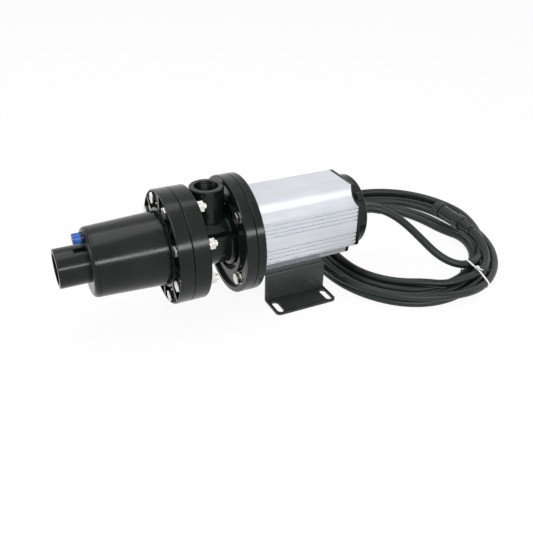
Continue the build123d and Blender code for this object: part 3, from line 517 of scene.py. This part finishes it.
@dataclass
class Motor(PackedGroup):
    """Extruded body, end caps, windings, rotor, bearings and the cable's entry."""

    finishes: dict[Finish, Sequence[str]] = field(
        default_factory=lambda: {
            ALUMINIUM: ("motor_housing",),
            BLACK_NYLON: ("motor_cover", "rear_end_plate", "terminal_cover"),
            LAMINATIONS: ("rotor_core", "stator_core"),
            MAGNETS: ("rotor_magnets",),
            COPPER_WIRE: ("stator_windings",),
            GROUND_STEEL: (
                "front_bearing_outer",
                "front_bearing_inner",
                "rear_bearing_outer",
                "rear_bearing_inner",
                "preload_spring",
            ),
            BRIGHT_ZINC: ("front_cover_screws", "rear_cover_screws", "lug_screws"),
            GREY_NYLON: ("gland_body", "gland_locknut", "gland_nut"),
            NITRILE: ("gland_seal",),
            NATURAL_NYLON: ("terminal_block",),
        }
    )


@dataclass
class Foot(PackedGroup):
    """Folded steel foot and its screws."""

    finishes: dict[Finish, Sequence[str]] = field(
        default_factory=lambda: {
            BLACK_POWDER_COAT: ("mounting_bracket",),
            BRIGHT_ZINC: ("bracket_screws",),
        }
    )


def new_mesh(name: str, shape: bmesh.types.BMesh, finish: Finish, smooth: bool = True) -> bpy.types.Object:
    """Turn a bmesh into a dressed object.

    Args:
        name: the piece's name.
        shape: the bmesh, which is freed.
        finish: the finish that it takes.
        smooth: whether its faces are shaded smooth.

    Returns:
        The new object.
    """
    bmesh.ops.recalc_face_normals(shape, faces=shape.faces)
    for face in shape.faces:
        face.smooth = smooth
    data = bpy.data.meshes.new(name)
    shape.to_mesh(data)
    shape.free()
    data.materials.append(finish.material())
    piece = bpy.data.objects.new(name, data)
    bpy.context.scene.collection.objects.link(piece)
    return piece


@dataclass
class PhotoCamera:
    """Camera at the photograph's angle, from the fit of its edges and circles."""

    position_mm: Point = (-322.5, -669.5, 477.0)
    azimuth: float = 26.54
    elevation: float = 30.92
    roll: float = 1.17
    focal_px: float = 637.9
    image_px: float = 533.0
    sensor_mm: float = 36.0
    clip: tuple[float, float] = (0.05, 50)

    def place(self) -> bpy.types.Object:
        """Make the camera and set it as the scene's camera.

        Returns:
            The camera object.
        """
        across, up = math.radians(self.azimuth), math.radians(self.elevation)
        ahead = Vector((math.sin(across) * math.cos(up), math.cos(across) * math.cos(up), -math.sin(up)))
        data = bpy.data.cameras.new("photo_camera")
        data.sensor_width = self.sensor_mm
        data.lens = self.focal_px * self.sensor_mm / self.image_px
        data.clip_start, data.clip_end = self.clip
        camera = bpy.data.objects.new("photo_camera", data)
        bpy.context.scene.collection.objects.link(camera)
        camera.location = Vector(self.position_mm) * MM
        level = ahead.to_track_quat("-Z", "Y").to_matrix()
        camera.rotation_euler = (level @ Matrix.Rotation(math.radians(self.roll), 3, "Z")).to_euler()
        bpy.context.scene.camera = camera
        return camera


@dataclass
class CoilPlan:
    """Plan of the coil on the floor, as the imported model's ring has it, in millimetres."""

    centre: tuple[float, float] = (245, 15)
    long_radius: float = 176
    short_radius: float = 148
    tilt: float = 60
    hole_centre: tuple[float, float] = (236, -6)
    hole_radius: float = 98
    tie_direction: float = -75

    def inner(self, angle: float) -> float:
        """Distance from the coil's centre to the hole's edge.

        Args:
            angle: direction in radians.

        Returns:
            The distance in millimetres.
        """
        east = self.hole_centre[0] - self.centre[0]
        north = self.hole_centre[1] - self.centre[1]
        along = east * math.cos(angle) + north * math.sin(angle)
        return along + math.sqrt(self.hole_radius**2 - (east**2 + north**2 - along**2))

    def outer(self, angle: float) -> float:
        """Distance from the coil's centre to its outer edge.

        Args:
            angle: direction in radians.

        Returns:
            The distance in millimetres.
        """
        off = angle - math.radians(self.tilt)
        return 1 / math.hypot(math.cos(off) / self.long_radius, math.sin(off) / self.short_radius)

    def spot(self, angle: float, share: float, margin: float) -> tuple[float, float]:
        """Place on the ring at a share of its width.

        Args:
            angle: direction in radians.
            share: 0 at the hole's edge and 1 at the outer edge.
            margin: width kept free at both edges.

        Returns:
            The place in millimetres.
        """
        low, high = self.inner(angle) + margin, self.outer(angle) - margin
        reach = low + share * (high - low)
        return self.centre[0] + reach * math.cos(angle), self.centre[1] + reach * math.sin(angle)


@dataclass
class SupplyCable:
    """Rubber-sheathed cable from the gland down to its coil, five times round, and up to the connector."""

    diameter: float = 11
    points_per_turn: int = 30
    laying_order: Sequence[int] = (1, 2, 3, 4, 0)
    at_tie: Sequence[float] = (0.17, 1.0, 0.667, 0.333, 0.0, 0.5)
    fanned: Sequence[float] = (1.0, 0.93, 0.6, 0.2, 0.02)
    fans_out_over: float = 0.3
    closes_over: float = 0.14
    waver: float = 0.04
    waver_step: float = 1.7
    gathered_share: float = 0.5
    gathered_at: float = 175
    edge_margin: float = 0.2
    steepest: float = 0.3
    tie_lift: float = 1.4
    tie_lift_reach: float = 40

    def __post_init__(self) -> None:
        """Set the plan, the way down from the gland and the way up to the connector."""
        self.plan = CoilPlan()
        self.lead: list[Point] = [
            (144, 0, 88),
            (161, 0, 88),
            (179.9, -4.3, 86.3),
            (196.4, -15.5, 81.2),
            (210, -34.6, 71.7),
            (221.7, -58.8, 56.6),
            (232.7, -82.1, 41.3),
            (247.4, -95.2, 31.1),
            (264.7, -101.7, 24.9),
            (283.3, -101.7, 22.1),
        ]
        self.rise: list[Point] = [
            (280.5, -119.9, 16.5),
            (304.7, -108.5, 17),
            (322.2, -91.7, 20.1),
            (332.7, -72.3, 25.9),
            (337.1, -54.3, 31.5),
            (338, -38, 33.5),
            (338.9, -22, 33.5),
        ]

    def shares(self, turn: int, part: float) -> float:
        """Place of a turn across the ring, part of the way round it.

        Args:
            turn: which turn, from 0.
            part: 0 at its start at the tie and 1 when it is back there.

        Returns:
            The share of the ring's width.
        """
        away = self.eased(part / self.fans_out_over) * self.eased((1 - part) / self.closes_over)
        near = self.at_tie[turn] + (self.at_tie[turn + 1] - self.at_tie[turn]) * self.eased(part)
        share = near * (1 - away) + self.fanned[turn] * away
        share += self.waver * math.sin(2 * math.pi * part * 2 + self.waver_step * turn) * away
        facing = max(0.0, math.cos(2 * math.pi * part - math.radians(self.gathered_at)))
        gathered = self.gathered_share * facing * away
        return min(1.0, max(0.0, 1 - (1 - share) * (1 - gathered)))

    def eased(self, value: float) -> float:
        """Smooth step from 0 to 1."""
        held = min(1.0, max(0.0, value))
        return held * held * (3 - 2 * held)

    def flat_turn(self, turn: int) -> list[Point]:
        """Plan points of one turn, with no height yet.

        Args:
            turn: which turn, from 0.

        Returns:
            Its points.
        """
        start = math.radians(self.plan.tie_direction)
        made = []
        for step in range(self.points_per_turn):
            part = step / self.points_per_turn
            angle = start + 2 * math.pi * part
            margin = self.diameter / 2 + self.edge_margin
            east, north = self.plan.spot(angle, self.shares(turn, part), margin)
            made.append((east, north, angle))
        return made

    def laid(self, flat: list[Point], under: list[Point]) -> list[Point]:
        """Lay one turn on the floor and on the turns below it.

        Args:
            flat: plan points with their angle.
            under: points of the turns already laid.

        Returns:
            The turn's points with their height.
        """
        tie_x, tie_y = self.plan.spot(math.radians(self.plan.tie_direction), 0.5, 0)
        heights = []
        for east, north, _ in flat:
            from_tie = (east - tie_x) ** 2 + (north - tie_y) ** 2
            lift = self.tie_lift * math.exp(-from_tie / self.tie_lift_reach**2)
            height = self.diameter / 2 + lift
            for x, y, z in under:
                gap = math.hypot(east - x, north - y)
                if gap < self.diameter:
                    height = max(height, z + math.sqrt(self.diameter**2 - gap**2))
            heights.append(height)
        step = math.dist(flat[0][:2], flat[1][:2])
        count = len(heights)
        eased = [
            max(heights[other] - self.steepest * step * abs(other - place) for other in range(count))
            for place in range(count)
        ]
        return [(east, north, height) for (east, north, _), height in zip(flat, eased)]

    def between(self, points: list[Point]) -> list[Point]:
        """The points with two more on each run, for measuring what lies below."""
        fine = []
        for first, second in zip(points, points[1:]):
            for part in (0, 1 / 3, 2 / 3):
                fine.append(tuple(a + (b - a) * part for a, b in zip(first, second)))
        return fine + points[-1:]

    def route(self) -> list[Point]:
        """Control points of the whole cable, from the gland to the connector.

        Returns:
            The points in millimetres.
        """
        done: dict[int, list[Point]] = {}
        under: list[Point] = []
        for turn in self.laying_order:
            done[turn] = self.laid(self.flat_turn(turn), under)
            under += self.between(done[turn])
        coil = [point for turn in sorted(done) for point in done[turn]]
        return self.lead + coil[1:] + self.rise

    def build(self) -> bpy.types.Object:
        """Make the cable as one smooth curve.

        Returns:
            The cable.
        """
        data = bpy.data.curves.new("supply_cable", "CURVE")
        data.dimensions = "3D"
        data.bevel_depth = self.diameter / 2 * MM
        data.bevel_resolution = 5
        data.use_fill_caps = True
        data.resolution_u = 6
        points = self.route()
        spline = data.splines.new("NURBS")
        spline.points.add(len(points) - 1)
        for control, point in zip(spline.points, points):
            control.co = (*(Vector(point) * MM), 1.0)
        spline.order_u = 3
        spline.use_endpoint_u = True
        data.materials.append(CABLE_RUBBER.material())
        cable = bpy.data.objects.new("supply_cable", data)
        bpy.context.scene.collection.objects.link(cable)
        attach(cable, PUMP_BODY)
        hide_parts("power_cable", "cable_coil")
        log.info("made supply_cable from %d points", len(points))
        return cable

    def centreline(self, cable: bpy.types.Object) -> list[Vector]:
        """Read the smooth line back from the cable's own spline.

        Args:
            cable: the cable.

        Returns:
            Points along it in metres.
        """
        bare = cable.data.copy()
        bare.bevel_depth = 0
        holder = bpy.data.objects.new("cable_line", bare)
        bpy.context.scene.collection.objects.link(holder)
        line = bpy.data.meshes.new_from_object(holder)
        points = [vertex.co.copy() for vertex in line.vertices]
        bpy.data.objects.remove(holder)
        bpy.data.meshes.remove(line)
        return points


def line_length(points: Sequence[Vector]) -> float:
    """Length of a line through points."""
    return sum((second - first).length for first, second in zip(points, points[1:]))


def tube_along(
    name: str,
    line: Sequence[Vector],
    radius_at: Callable[[float], float],
    finish: Finish,
    sides: int = 32,
) -> bpy.types.Object:
    """Closed round tube along a line, whose radius changes on the way.

    Args:
        name: the piece's name.
        line: points in metres.
        radius_at: radius in metres at a share of the way along.
        finish: the finish that it takes.
        sides: faces round it.

    Returns:
        The new object.
    """
    shape = bmesh.new()
    rings = []
    total = line_length(line)
    gone = 0.0
    side = Vector((0, 0, 1))
    for place, point in enumerate(line):
        ahead = (line[min(place + 1, len(line) - 1)] - line[max(place - 1, 0)]).normalized()
        side = (side - ahead * side.dot(ahead)).normalized()
        other = ahead.cross(side)
        if place:
            gone += (point - line[place - 1]).length
        radius = radius_at(gone / total)
        rings.append(
            [
                shape.verts.new(
                    point
                    + side * (radius * math.cos(2 * math.pi * step / sides))
                    + other * (radius * math.sin(2 * math.pi * step / sides))
                )
                for step in range(sides)
            ]
        )
    for first, second in zip(rings, rings[1:]):
        for step in range(sides):
            after = (step + 1) % sides
            shape.faces.new((first[step], first[after], second[after], second[step]))
    shape.faces.new(rings[0])
    shape.faces.new(rings[-1])
    return new_mesh(name, shape, finish)


@dataclass
class BendGuard:
    """Ribbed rubber sleeve that tapers from the gland along the cable."""

    length: float = 26
    start_radius: float = 7.4
    end_radius: float = 6.2
    rib_depth: float = 0.45
    rib_count: int = 6
    gland_tip_x: float = 161
    rings_per_run: int = 8

    def build(self, line: Sequence[Vector]) -> bpy.types.Object:
        """Make the sleeve on the cable's own line.

        Args:
            line: the cable's centreline in metres.

        Returns:
            The sleeve.
        """
        start = next(place for place, point in enumerate(line) if point.x >= self.gland_tip_x * MM)
        fine = [line[start]]
        for first, second in zip(line[start:], line[start + 1 :]):
            for ring in range(self.rings_per_run):
                fine.append(first.lerp(second, (ring + 1) / self.rings_per_run))
            if line_length(fine) > self.length * MM:
                break
        while line_length(fine) > self.length * MM:
            fine.pop()

        def radius_at(share: float) -> float:
            """Radius with a taper and rings."""
            ribs = self.rib_depth * (0.5 + 0.5 * math.cos(2 * math.pi * self.rib_count * share))
            plain = self.start_radius + (self.end_radius - self.start_radius) * share
            return (plain - ribs * (1 - share)) * MM

        guard = tube_along("bend_guard", fine, radius_at, CABLE_RUBBER)
        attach(guard, PUMP_BODY)
        log.info("made bend_guard, %.0f mm long", line_length(fine) / MM)
        return guard


@dataclass
class CableTie:
    """Thin nylon strap pulled tight round the gathered turns, with its lock and cut tail."""

    width: float = 2.8
    thickness: float = 1.0
    cable_diameter: float = 11
    slack: float = 0.05
    floor_gap: float = 0.02
    spokes: int = 96
    edge_radius: float = 0.25
    lock: Point = (4.6, 4.6, 3.6)
    lock_lean: float = 0.25
    lock_sink: float = 0.4
    tail: Point = (7.0, 2.4, 0.9)
    tail_shift: float = 5.2
    tail_rise: float = 1.0

    def strands(self, line: Sequence[Vector], plan: CoilPlan) -> list[tuple[float, float]]:
        """Where the turns cross the tie's plane.

        Args:
            line: the cable's centreline in metres.
            plan: the coil's plan.

        Returns:
            Reach from the coil's centre and height of each crossing, in millimetres.
        """
        angle = math.radians(plan.tie_direction)
        out = Vector((math.cos(angle), math.sin(angle), 0))
        along = Vector((-math.sin(angle), math.cos(angle), 0))
        centre = Vector((*plan.centre, 0)) * MM
        found = []
        for first, second in zip(line, line[1:]):
            before, after = (first - centre).dot(along), (second - centre).dot(along)
            if before <= 0 < after and (first - centre).dot(out) > 0:
                crossing = first.lerp(second, before / (before - after)) - centre
                found.append((crossing.dot(out) / MM, crossing.z / MM))
        return found

    def hull(self, strands: list[tuple[float, float]], radius: float) -> list[tuple[float, float]]:
        """Tight outline round circles at the crossings.

        Args:
            strands: the centres of the circles.
            radius: their radius.

        Returns:
            The outline's points, in order.
        """
        cloud = sorted(
            {
                (
                    round(reach + radius * math.cos(math.radians(turn)), 4),
                    round(max(self.floor_gap, height + radius * math.sin(math.radians(turn))), 4),
                )
                for reach, height in strands
                for turn in range(0, 360, 10)
            }
        )

        def half(points: list[tuple[float, float]]) -> list[tuple[float, float]]:
            """One side of the convex outline."""
            kept: list[tuple[float, float]] = []
            for point in points:
                while len(kept) > 1 and (kept[-1][0] - kept[-2][0]) * (point[1] - kept[-2][1]) <= (
                    kept[-1][1] - kept[-2][1]
                ) * (point[0] - kept[-2][0]):
                    kept.pop()
                kept.append(point)
            return kept[:-1]

        return half(cloud) + half(cloud[::-1])

    def build(self, line: Sequence[Vector], plan: CoilPlan) -> bpy.types.Object:
        """Make the strap round the turns where they cross its plane.

        Args:
            line: the cable's centreline in metres.
            plan: the coil's plan.

        Returns:
            The tie.
        """
        strands = self.strands(line, plan)
        inner_radius = self.cable_diameter / 2 + self.slack
        outlines = [self.hull(strands, inner_radius), self.hull(strands, inner_radius + self.thickness)]
        angle = math.radians(plan.tie_direction)
        out = Vector((math.cos(angle), math.sin(angle), 0))
        along = Vector((-math.sin(angle), math.cos(angle), 0))
        centre = Vector((*plan.centre, 0))
        middle = sum((Vector(strand) for strand in strands), Vector((0, 0))) / len(strands)
        shape = bmesh.new()
        rings = []
        for outline in outlines:
            ring = []
            for step in range(self.spokes):
                turn = 2 * math.pi * step / self.spokes
                ring.append(self.cast(outline, middle, Vector((math.cos(turn), math.sin(turn)))))
            for shift in (-self.width / 2, self.width / 2):
                edge = centre + along * shift
                rings.append(
                    [shape.verts.new((edge + out * spot.x + Vector((0, 0, spot.y))) * MM) for spot in ring]
                )
        for first, second in ((0, 1), (1, 3), (3, 2), (2, 0)):
            for step in range(self.spokes):
                after = (step + 1) % self.spokes
                shape.faces.new(
                    (rings[first][step], rings[first][after], rings[second][after], rings[second][step])
                )
        top = self.cast(outlines[1], middle, Vector((self.lock_lean, 1.0)).normalized())
        self.add_lock(shape, centre, out, along, top)
        tie = new_mesh("tie_strap", shape, NATURAL_NYLON, smooth=False)
        edge = tie.modifiers.new("soft_edges", "BEVEL")
        edge.width = self.edge_radius * MM
        edge.segments = 2
        edge.limit_method = "ANGLE"
        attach(tie, PUMP_BODY)
        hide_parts("cable_tie")
        log.info("made tie_strap round %d strands", len(strands))
        return tie

    def cast(self, outline: list[tuple[float, float]], start: Vector, way: Vector) -> Vector:
        """Point where a ray from inside meets a convex outline.

        Args:
            outline: the outline's points, in order.
            start: a point inside it.
            way: the ray's direction.

        Returns:
            The meeting point.
        """
        best = None
        for first, second in zip(outline, outline[1:] + outline[:1]):
            edge = Vector(second) - Vector(first)
            bottom = way.x * edge.y - way.y * edge.x
            if abs(bottom) < 1e-9:
                continue
            gap = Vector(first) - start
            reach = (gap.x * edge.y - gap.y * edge.x) / bottom
            part = (gap.x * way.y - gap.y * way.x) / bottom
            if reach > 0 and -1e-6 <= part <= 1 + 1e-6 and (best is None or reach > best):
                best = reach
        return start + way * (best or 0.0)

    def add_lock(
        self, shape: bmesh.types.BMesh, centre: Vector, out: Vector, along: Vector, top: Vector
    ) -> None:
        """Add the square lock and the cut end of the strap on top of the band.

        Args:
            shape: the strap's bmesh.
            centre: the coil's centre in millimetres.
            out: direction away from the coil's centre.
            along: direction along the turns.
            top: reach and height of the lock's place on the band.
        """
        parts = ((Vector(self.lock), 0.0, 0.0), (Vector(self.tail), self.tail_shift, self.tail_rise))
        for size, shift, rise in parts:
            made = bmesh.ops.create_cube(shape, size=1.0)["verts"]
            for vertex in made:
                spot = Vector((vertex.co.x * size.x, vertex.co.y * size.y, vertex.co.z * size.z))
                place = centre + out * (top.x + shift + spot.x) + along * spot.y
                height = top.y + size.z / 2 - self.lock_sink + rise + spot.z
                vertex.co = (place + Vector((0, 0, height))) * MM


@dataclass
class CableConnector:
    """Round inline connector: knurled coupling ring, ribbed body, gland nut and rubber tail."""

    centre: Point = (340, 16, 33.5)
    heading: float = 88
    spokes: int = 96
    pin_count: int = 4
    pin_circle: float = 4.2
    pin_middle: float = 26.5
    pin_length: float = 5
    pin_radii: tuple[float, float] = (1.1, 0.9)
    knurls: int = 24
    knurl_depth: float = 0.55
    ring_start: float = 17
    nut_flats: int = 12
    flat_depth: float = 0.5
    nut_span: tuple[float, float] = (-30.5, -16.5)
    gripped_radius: float = 11

    def profile(self) -> list[tuple[float, float]]:
        """Outline from the tail to the mating face.

        Returns:
            Places along the axis and radii in millimetres.
        """
        return [
            (-54, 5.6),
            (-54, 6.6),
            (-50, 6.9),
            (-49.6, 6.3),
            (-47.6, 6.4),
            (-47.2, 7.2),
            (-45.2, 7.3),
            (-44.8, 6.7),
            (-42.8, 6.8),
            (-42.4, 7.7),
            (-40.4, 7.8),
            (-40, 7.2),
            (-38, 7.3),
            (-37.6, 8.2),
            (-35.4, 8.3),
            (-34.8, 7.8),
            (-32, 8.1),
            (-31.4, 10.3),
            (-30, 11.4),
            (-17, 11.5),
            (-16, 10.9),
            (-16, 9.6),
            (-14.6, 9.6),
            (-14.6, 10),
            (-4, 10),
            (-3.4, 9.5),
            (-2, 9.5),
            (-1.4, 10),
            (4, 10),
            (4.6, 9.5),
            (6, 9.5),
            (6.6, 10),
            (14.6, 10),
            (14.6, 9.4),
            (16, 9.4),
            (16, 11),
            (17, 11.5),
            (28.8, 11.5),
            (30, 10.6),
            (30, 8.6),
            (24, 8.4),
            (24, 0.001),
        ]

    def build(self) -> bpy.types.Object:
        """Make the connector as one turned piece with knurls and pins.

        Returns:
            The connector.
        """
        angle = math.radians(self.heading)
        axis = Vector((math.cos(angle), math.sin(angle), 0))
        side = Vector((-math.sin(angle), math.cos(angle), 0))
        up = Vector((0, 0, 1))
        centre = Vector(self.centre)
        shape = bmesh.new()
        rings = []
        for along, radius in self.profile():
            ring = []
            for step in range(self.spokes):
                turn = 2 * math.pi * step / self.spokes
                grip = self.grip(along, radius, turn)
                spot = centre + axis * along + (side * math.cos(turn) + up * math.sin(turn)) * grip
                ring.append(shape.verts.new(spot * MM))
            rings.append(ring)
        for first, second in zip(rings, rings[1:]):
            for step in range(self.spokes):
                after = (step + 1) % self.spokes
                shape.faces.new((first[step], first[after], second[after], second[step]))
        shape.faces.new(rings[0])
        bmesh.ops.remove_doubles(shape, verts=shape.verts, dist=0.00001)
        for pin in range(self.pin_count):
            turn = 2 * math.pi * pin / self.pin_count + math.pi / 4
            away = (side * math.cos(turn) + up * math.sin(turn)) * self.pin_circle
            spot = centre + axis * self.pin_middle + away
            placed = Matrix.Translation(spot * MM) @ axis.to_track_quat("Z", "Y").to_matrix().to_4x4()
            bmesh.ops.create_cone(
                shape,
                cap_ends=True,
                segments=16,
                radius1=self.pin_radii[0] * MM,
                radius2=self.pin_radii[1] * MM,
                depth=self.pin_length * MM,
                matrix=placed,
            )
        connector = new_mesh("inline_connector", shape, CONNECTOR_NYLON, smooth=False)
        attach(connector, PUMP_BODY)
        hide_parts("cable_connector")
        log.info("made inline_connector")
        return connector

    def grip(self, along: float, radius: float, turn: float) -> float:
        """Radius with the knurls of the coupling ring and the flats of the gland nut.

        Args:
            along: place along the axis in millimetres.
            radius: the plain radius there.
            turn: direction round the axis in radians.

        Returns:
            The radius with its grips.
        """
        if radius <= self.gripped_radius:
            return radius
        if along >= self.ring_start:
            return radius - self.knurl_depth * (0.5 + 0.5 * math.cos(self.knurls * turn))
        if self.nut_span[0] < along < self.nut_span[1]:
            return radius - self.flat_depth * (0.5 + 0.5 * math.cos(self.nut_flats * turn))
        return radius


@dataclass
class Studio:
    """White floor and soft light, with the background white for the camera."""

    floor_size: float = 14.0
    floor_drop: float = 0.0002
    floor_colour: str = "#ffffff"
    glow_share: float = 0.92
    fill_strength: float = 0.55

    def build(self) -> None:
        """Make the floor, the lamps and the world."""
        self.floor()
        self.world()
        self.lamp("top_softbox", (-0.25, 0.25, 1.9), (0.1, 0.0, 0.08), (1.7, 1.1), 12)
        self.lamp("front_strip", (-0.1, -2.3, 1.05), (0.05, 0.0, 0.08), (2.6, 0.34), 34)
        self.lamp("left_softbox", (-1.9, 0.1, 0.9), (-0.1, 0.0, 0.1), (0.9, 0.9), 7)

    def camera_white(self, tree: Tree) -> Socket:
        """One where a camera, glossy or transmission ray looks, and zero elsewhere."""
        path = add_node(tree, "LightPath").outputs
        some = add_node(
            tree, "Math", {"operation": "MAXIMUM"}, in_0=path["Is Camera Ray"], in_1=path["Is Glossy Ray"]
        ).outputs[0]
        return add_node(
            tree, "Math", {"operation": "MAXIMUM"}, in_0=some, in_1=path["Is Transmission Ray"]
        ).outputs[0]

    def floor(self) -> None:
        """White floor that keeps a soft shadow."""
        shape = bmesh.new()
        bmesh.ops.create_grid(shape, x_segments=1, y_segments=1, size=self.floor_size / 2)
        for vertex in shape.verts:
            vertex.co.z = -self.floor_drop
        data = bpy.data.meshes.new("studio_floor")
        shape.to_mesh(data)
        shape.free()
        floor = bpy.data.objects.new("studio_floor", data)
        bpy.context.scene.collection.objects.link(floor)
        made = bpy.data.materials.new("floor_white")
        made.use_nodes = True
        tree = made.node_tree
        tree.nodes.clear()
        paint = add_node(tree, "BsdfDiffuse", Color=linear(self.floor_colour)).outputs[0]
        glow = add_node(tree, "Emission", Color=grey(1.0), Strength=1.0).outputs[0]
        white = self.camera_white(tree)
        seen = add_node(
            tree, "Math", {"operation": "MULTIPLY"}, in_0=white, in_1=self.glow_share
        ).outputs[0]
        mixed = add_node(tree, "MixShader", in_0=seen, in_1=paint, in_2=glow)
        add_node(tree, "OutputMaterial", Surface=mixed.outputs[0])
        data.materials.append(made)

    def world(self) -> None:
        """Even soft light, which the camera and mirrors see as white."""
        world = bpy.data.worlds.new("studio_world")
        bpy.context.scene.world = world
        world.use_nodes = True
        tree = world.node_tree
        tree.nodes.clear()
        fill = add_node(tree, "Background", Color=grey(1.0), Strength=self.fill_strength).outputs[0]
        white = add_node(tree, "Background", Color=grey(1.0), Strength=1.0).outputs[0]
        mixed = add_node(tree, "MixShader", in_0=self.camera_white(tree), in_1=fill, in_2=white)
        add_node(tree, "OutputWorld", Surface=mixed.outputs[0])

    def lamp(
        self, name: str, place: Point, target: Point, size: tuple[float, float], power: float
    ) -> None:
        """One soft area lamp.

        Args:
            name: its name.
            place: where it stands, in metres.
            target: where it points, in metres.
            size: its two sides, in metres.
            power: its power in watts.
        """
        data = bpy.data.lights.new(name, "AREA")
        data.shape = "RECTANGLE"
        data.size, data.size_y = size
        data.energy = power
        lamp = bpy.data.objects.new(name, data)
        bpy.context.scene.collection.objects.link(lamp)
        lamp.location = place
        lamp.rotation_euler = (Vector(target) - Vector(place)).to_track_quat("-Z", "Y").to_euler()


def main() -> None:
    """Build everything, from the camera and the cable to the floor."""
    logging.basicConfig(level=logging.INFO, format="%(name)s: %(message)s")
    bpy.context.scene.view_settings.view_transform = "Standard"
    PhotoCamera().place()
    supply = SupplyCable()
    cable = supply.build()
    line = supply.centreline(cable)
    guard = BendGuard().build(line)
    tie = CableTie().build(line, supply.plan)
    connector = CableConnector().build()
    for group in (PumpEnd(), DriveLine(), Motor(), Foot()):
        group.dress()
    Studio().build()


if __name__ == "__main__":
    main()
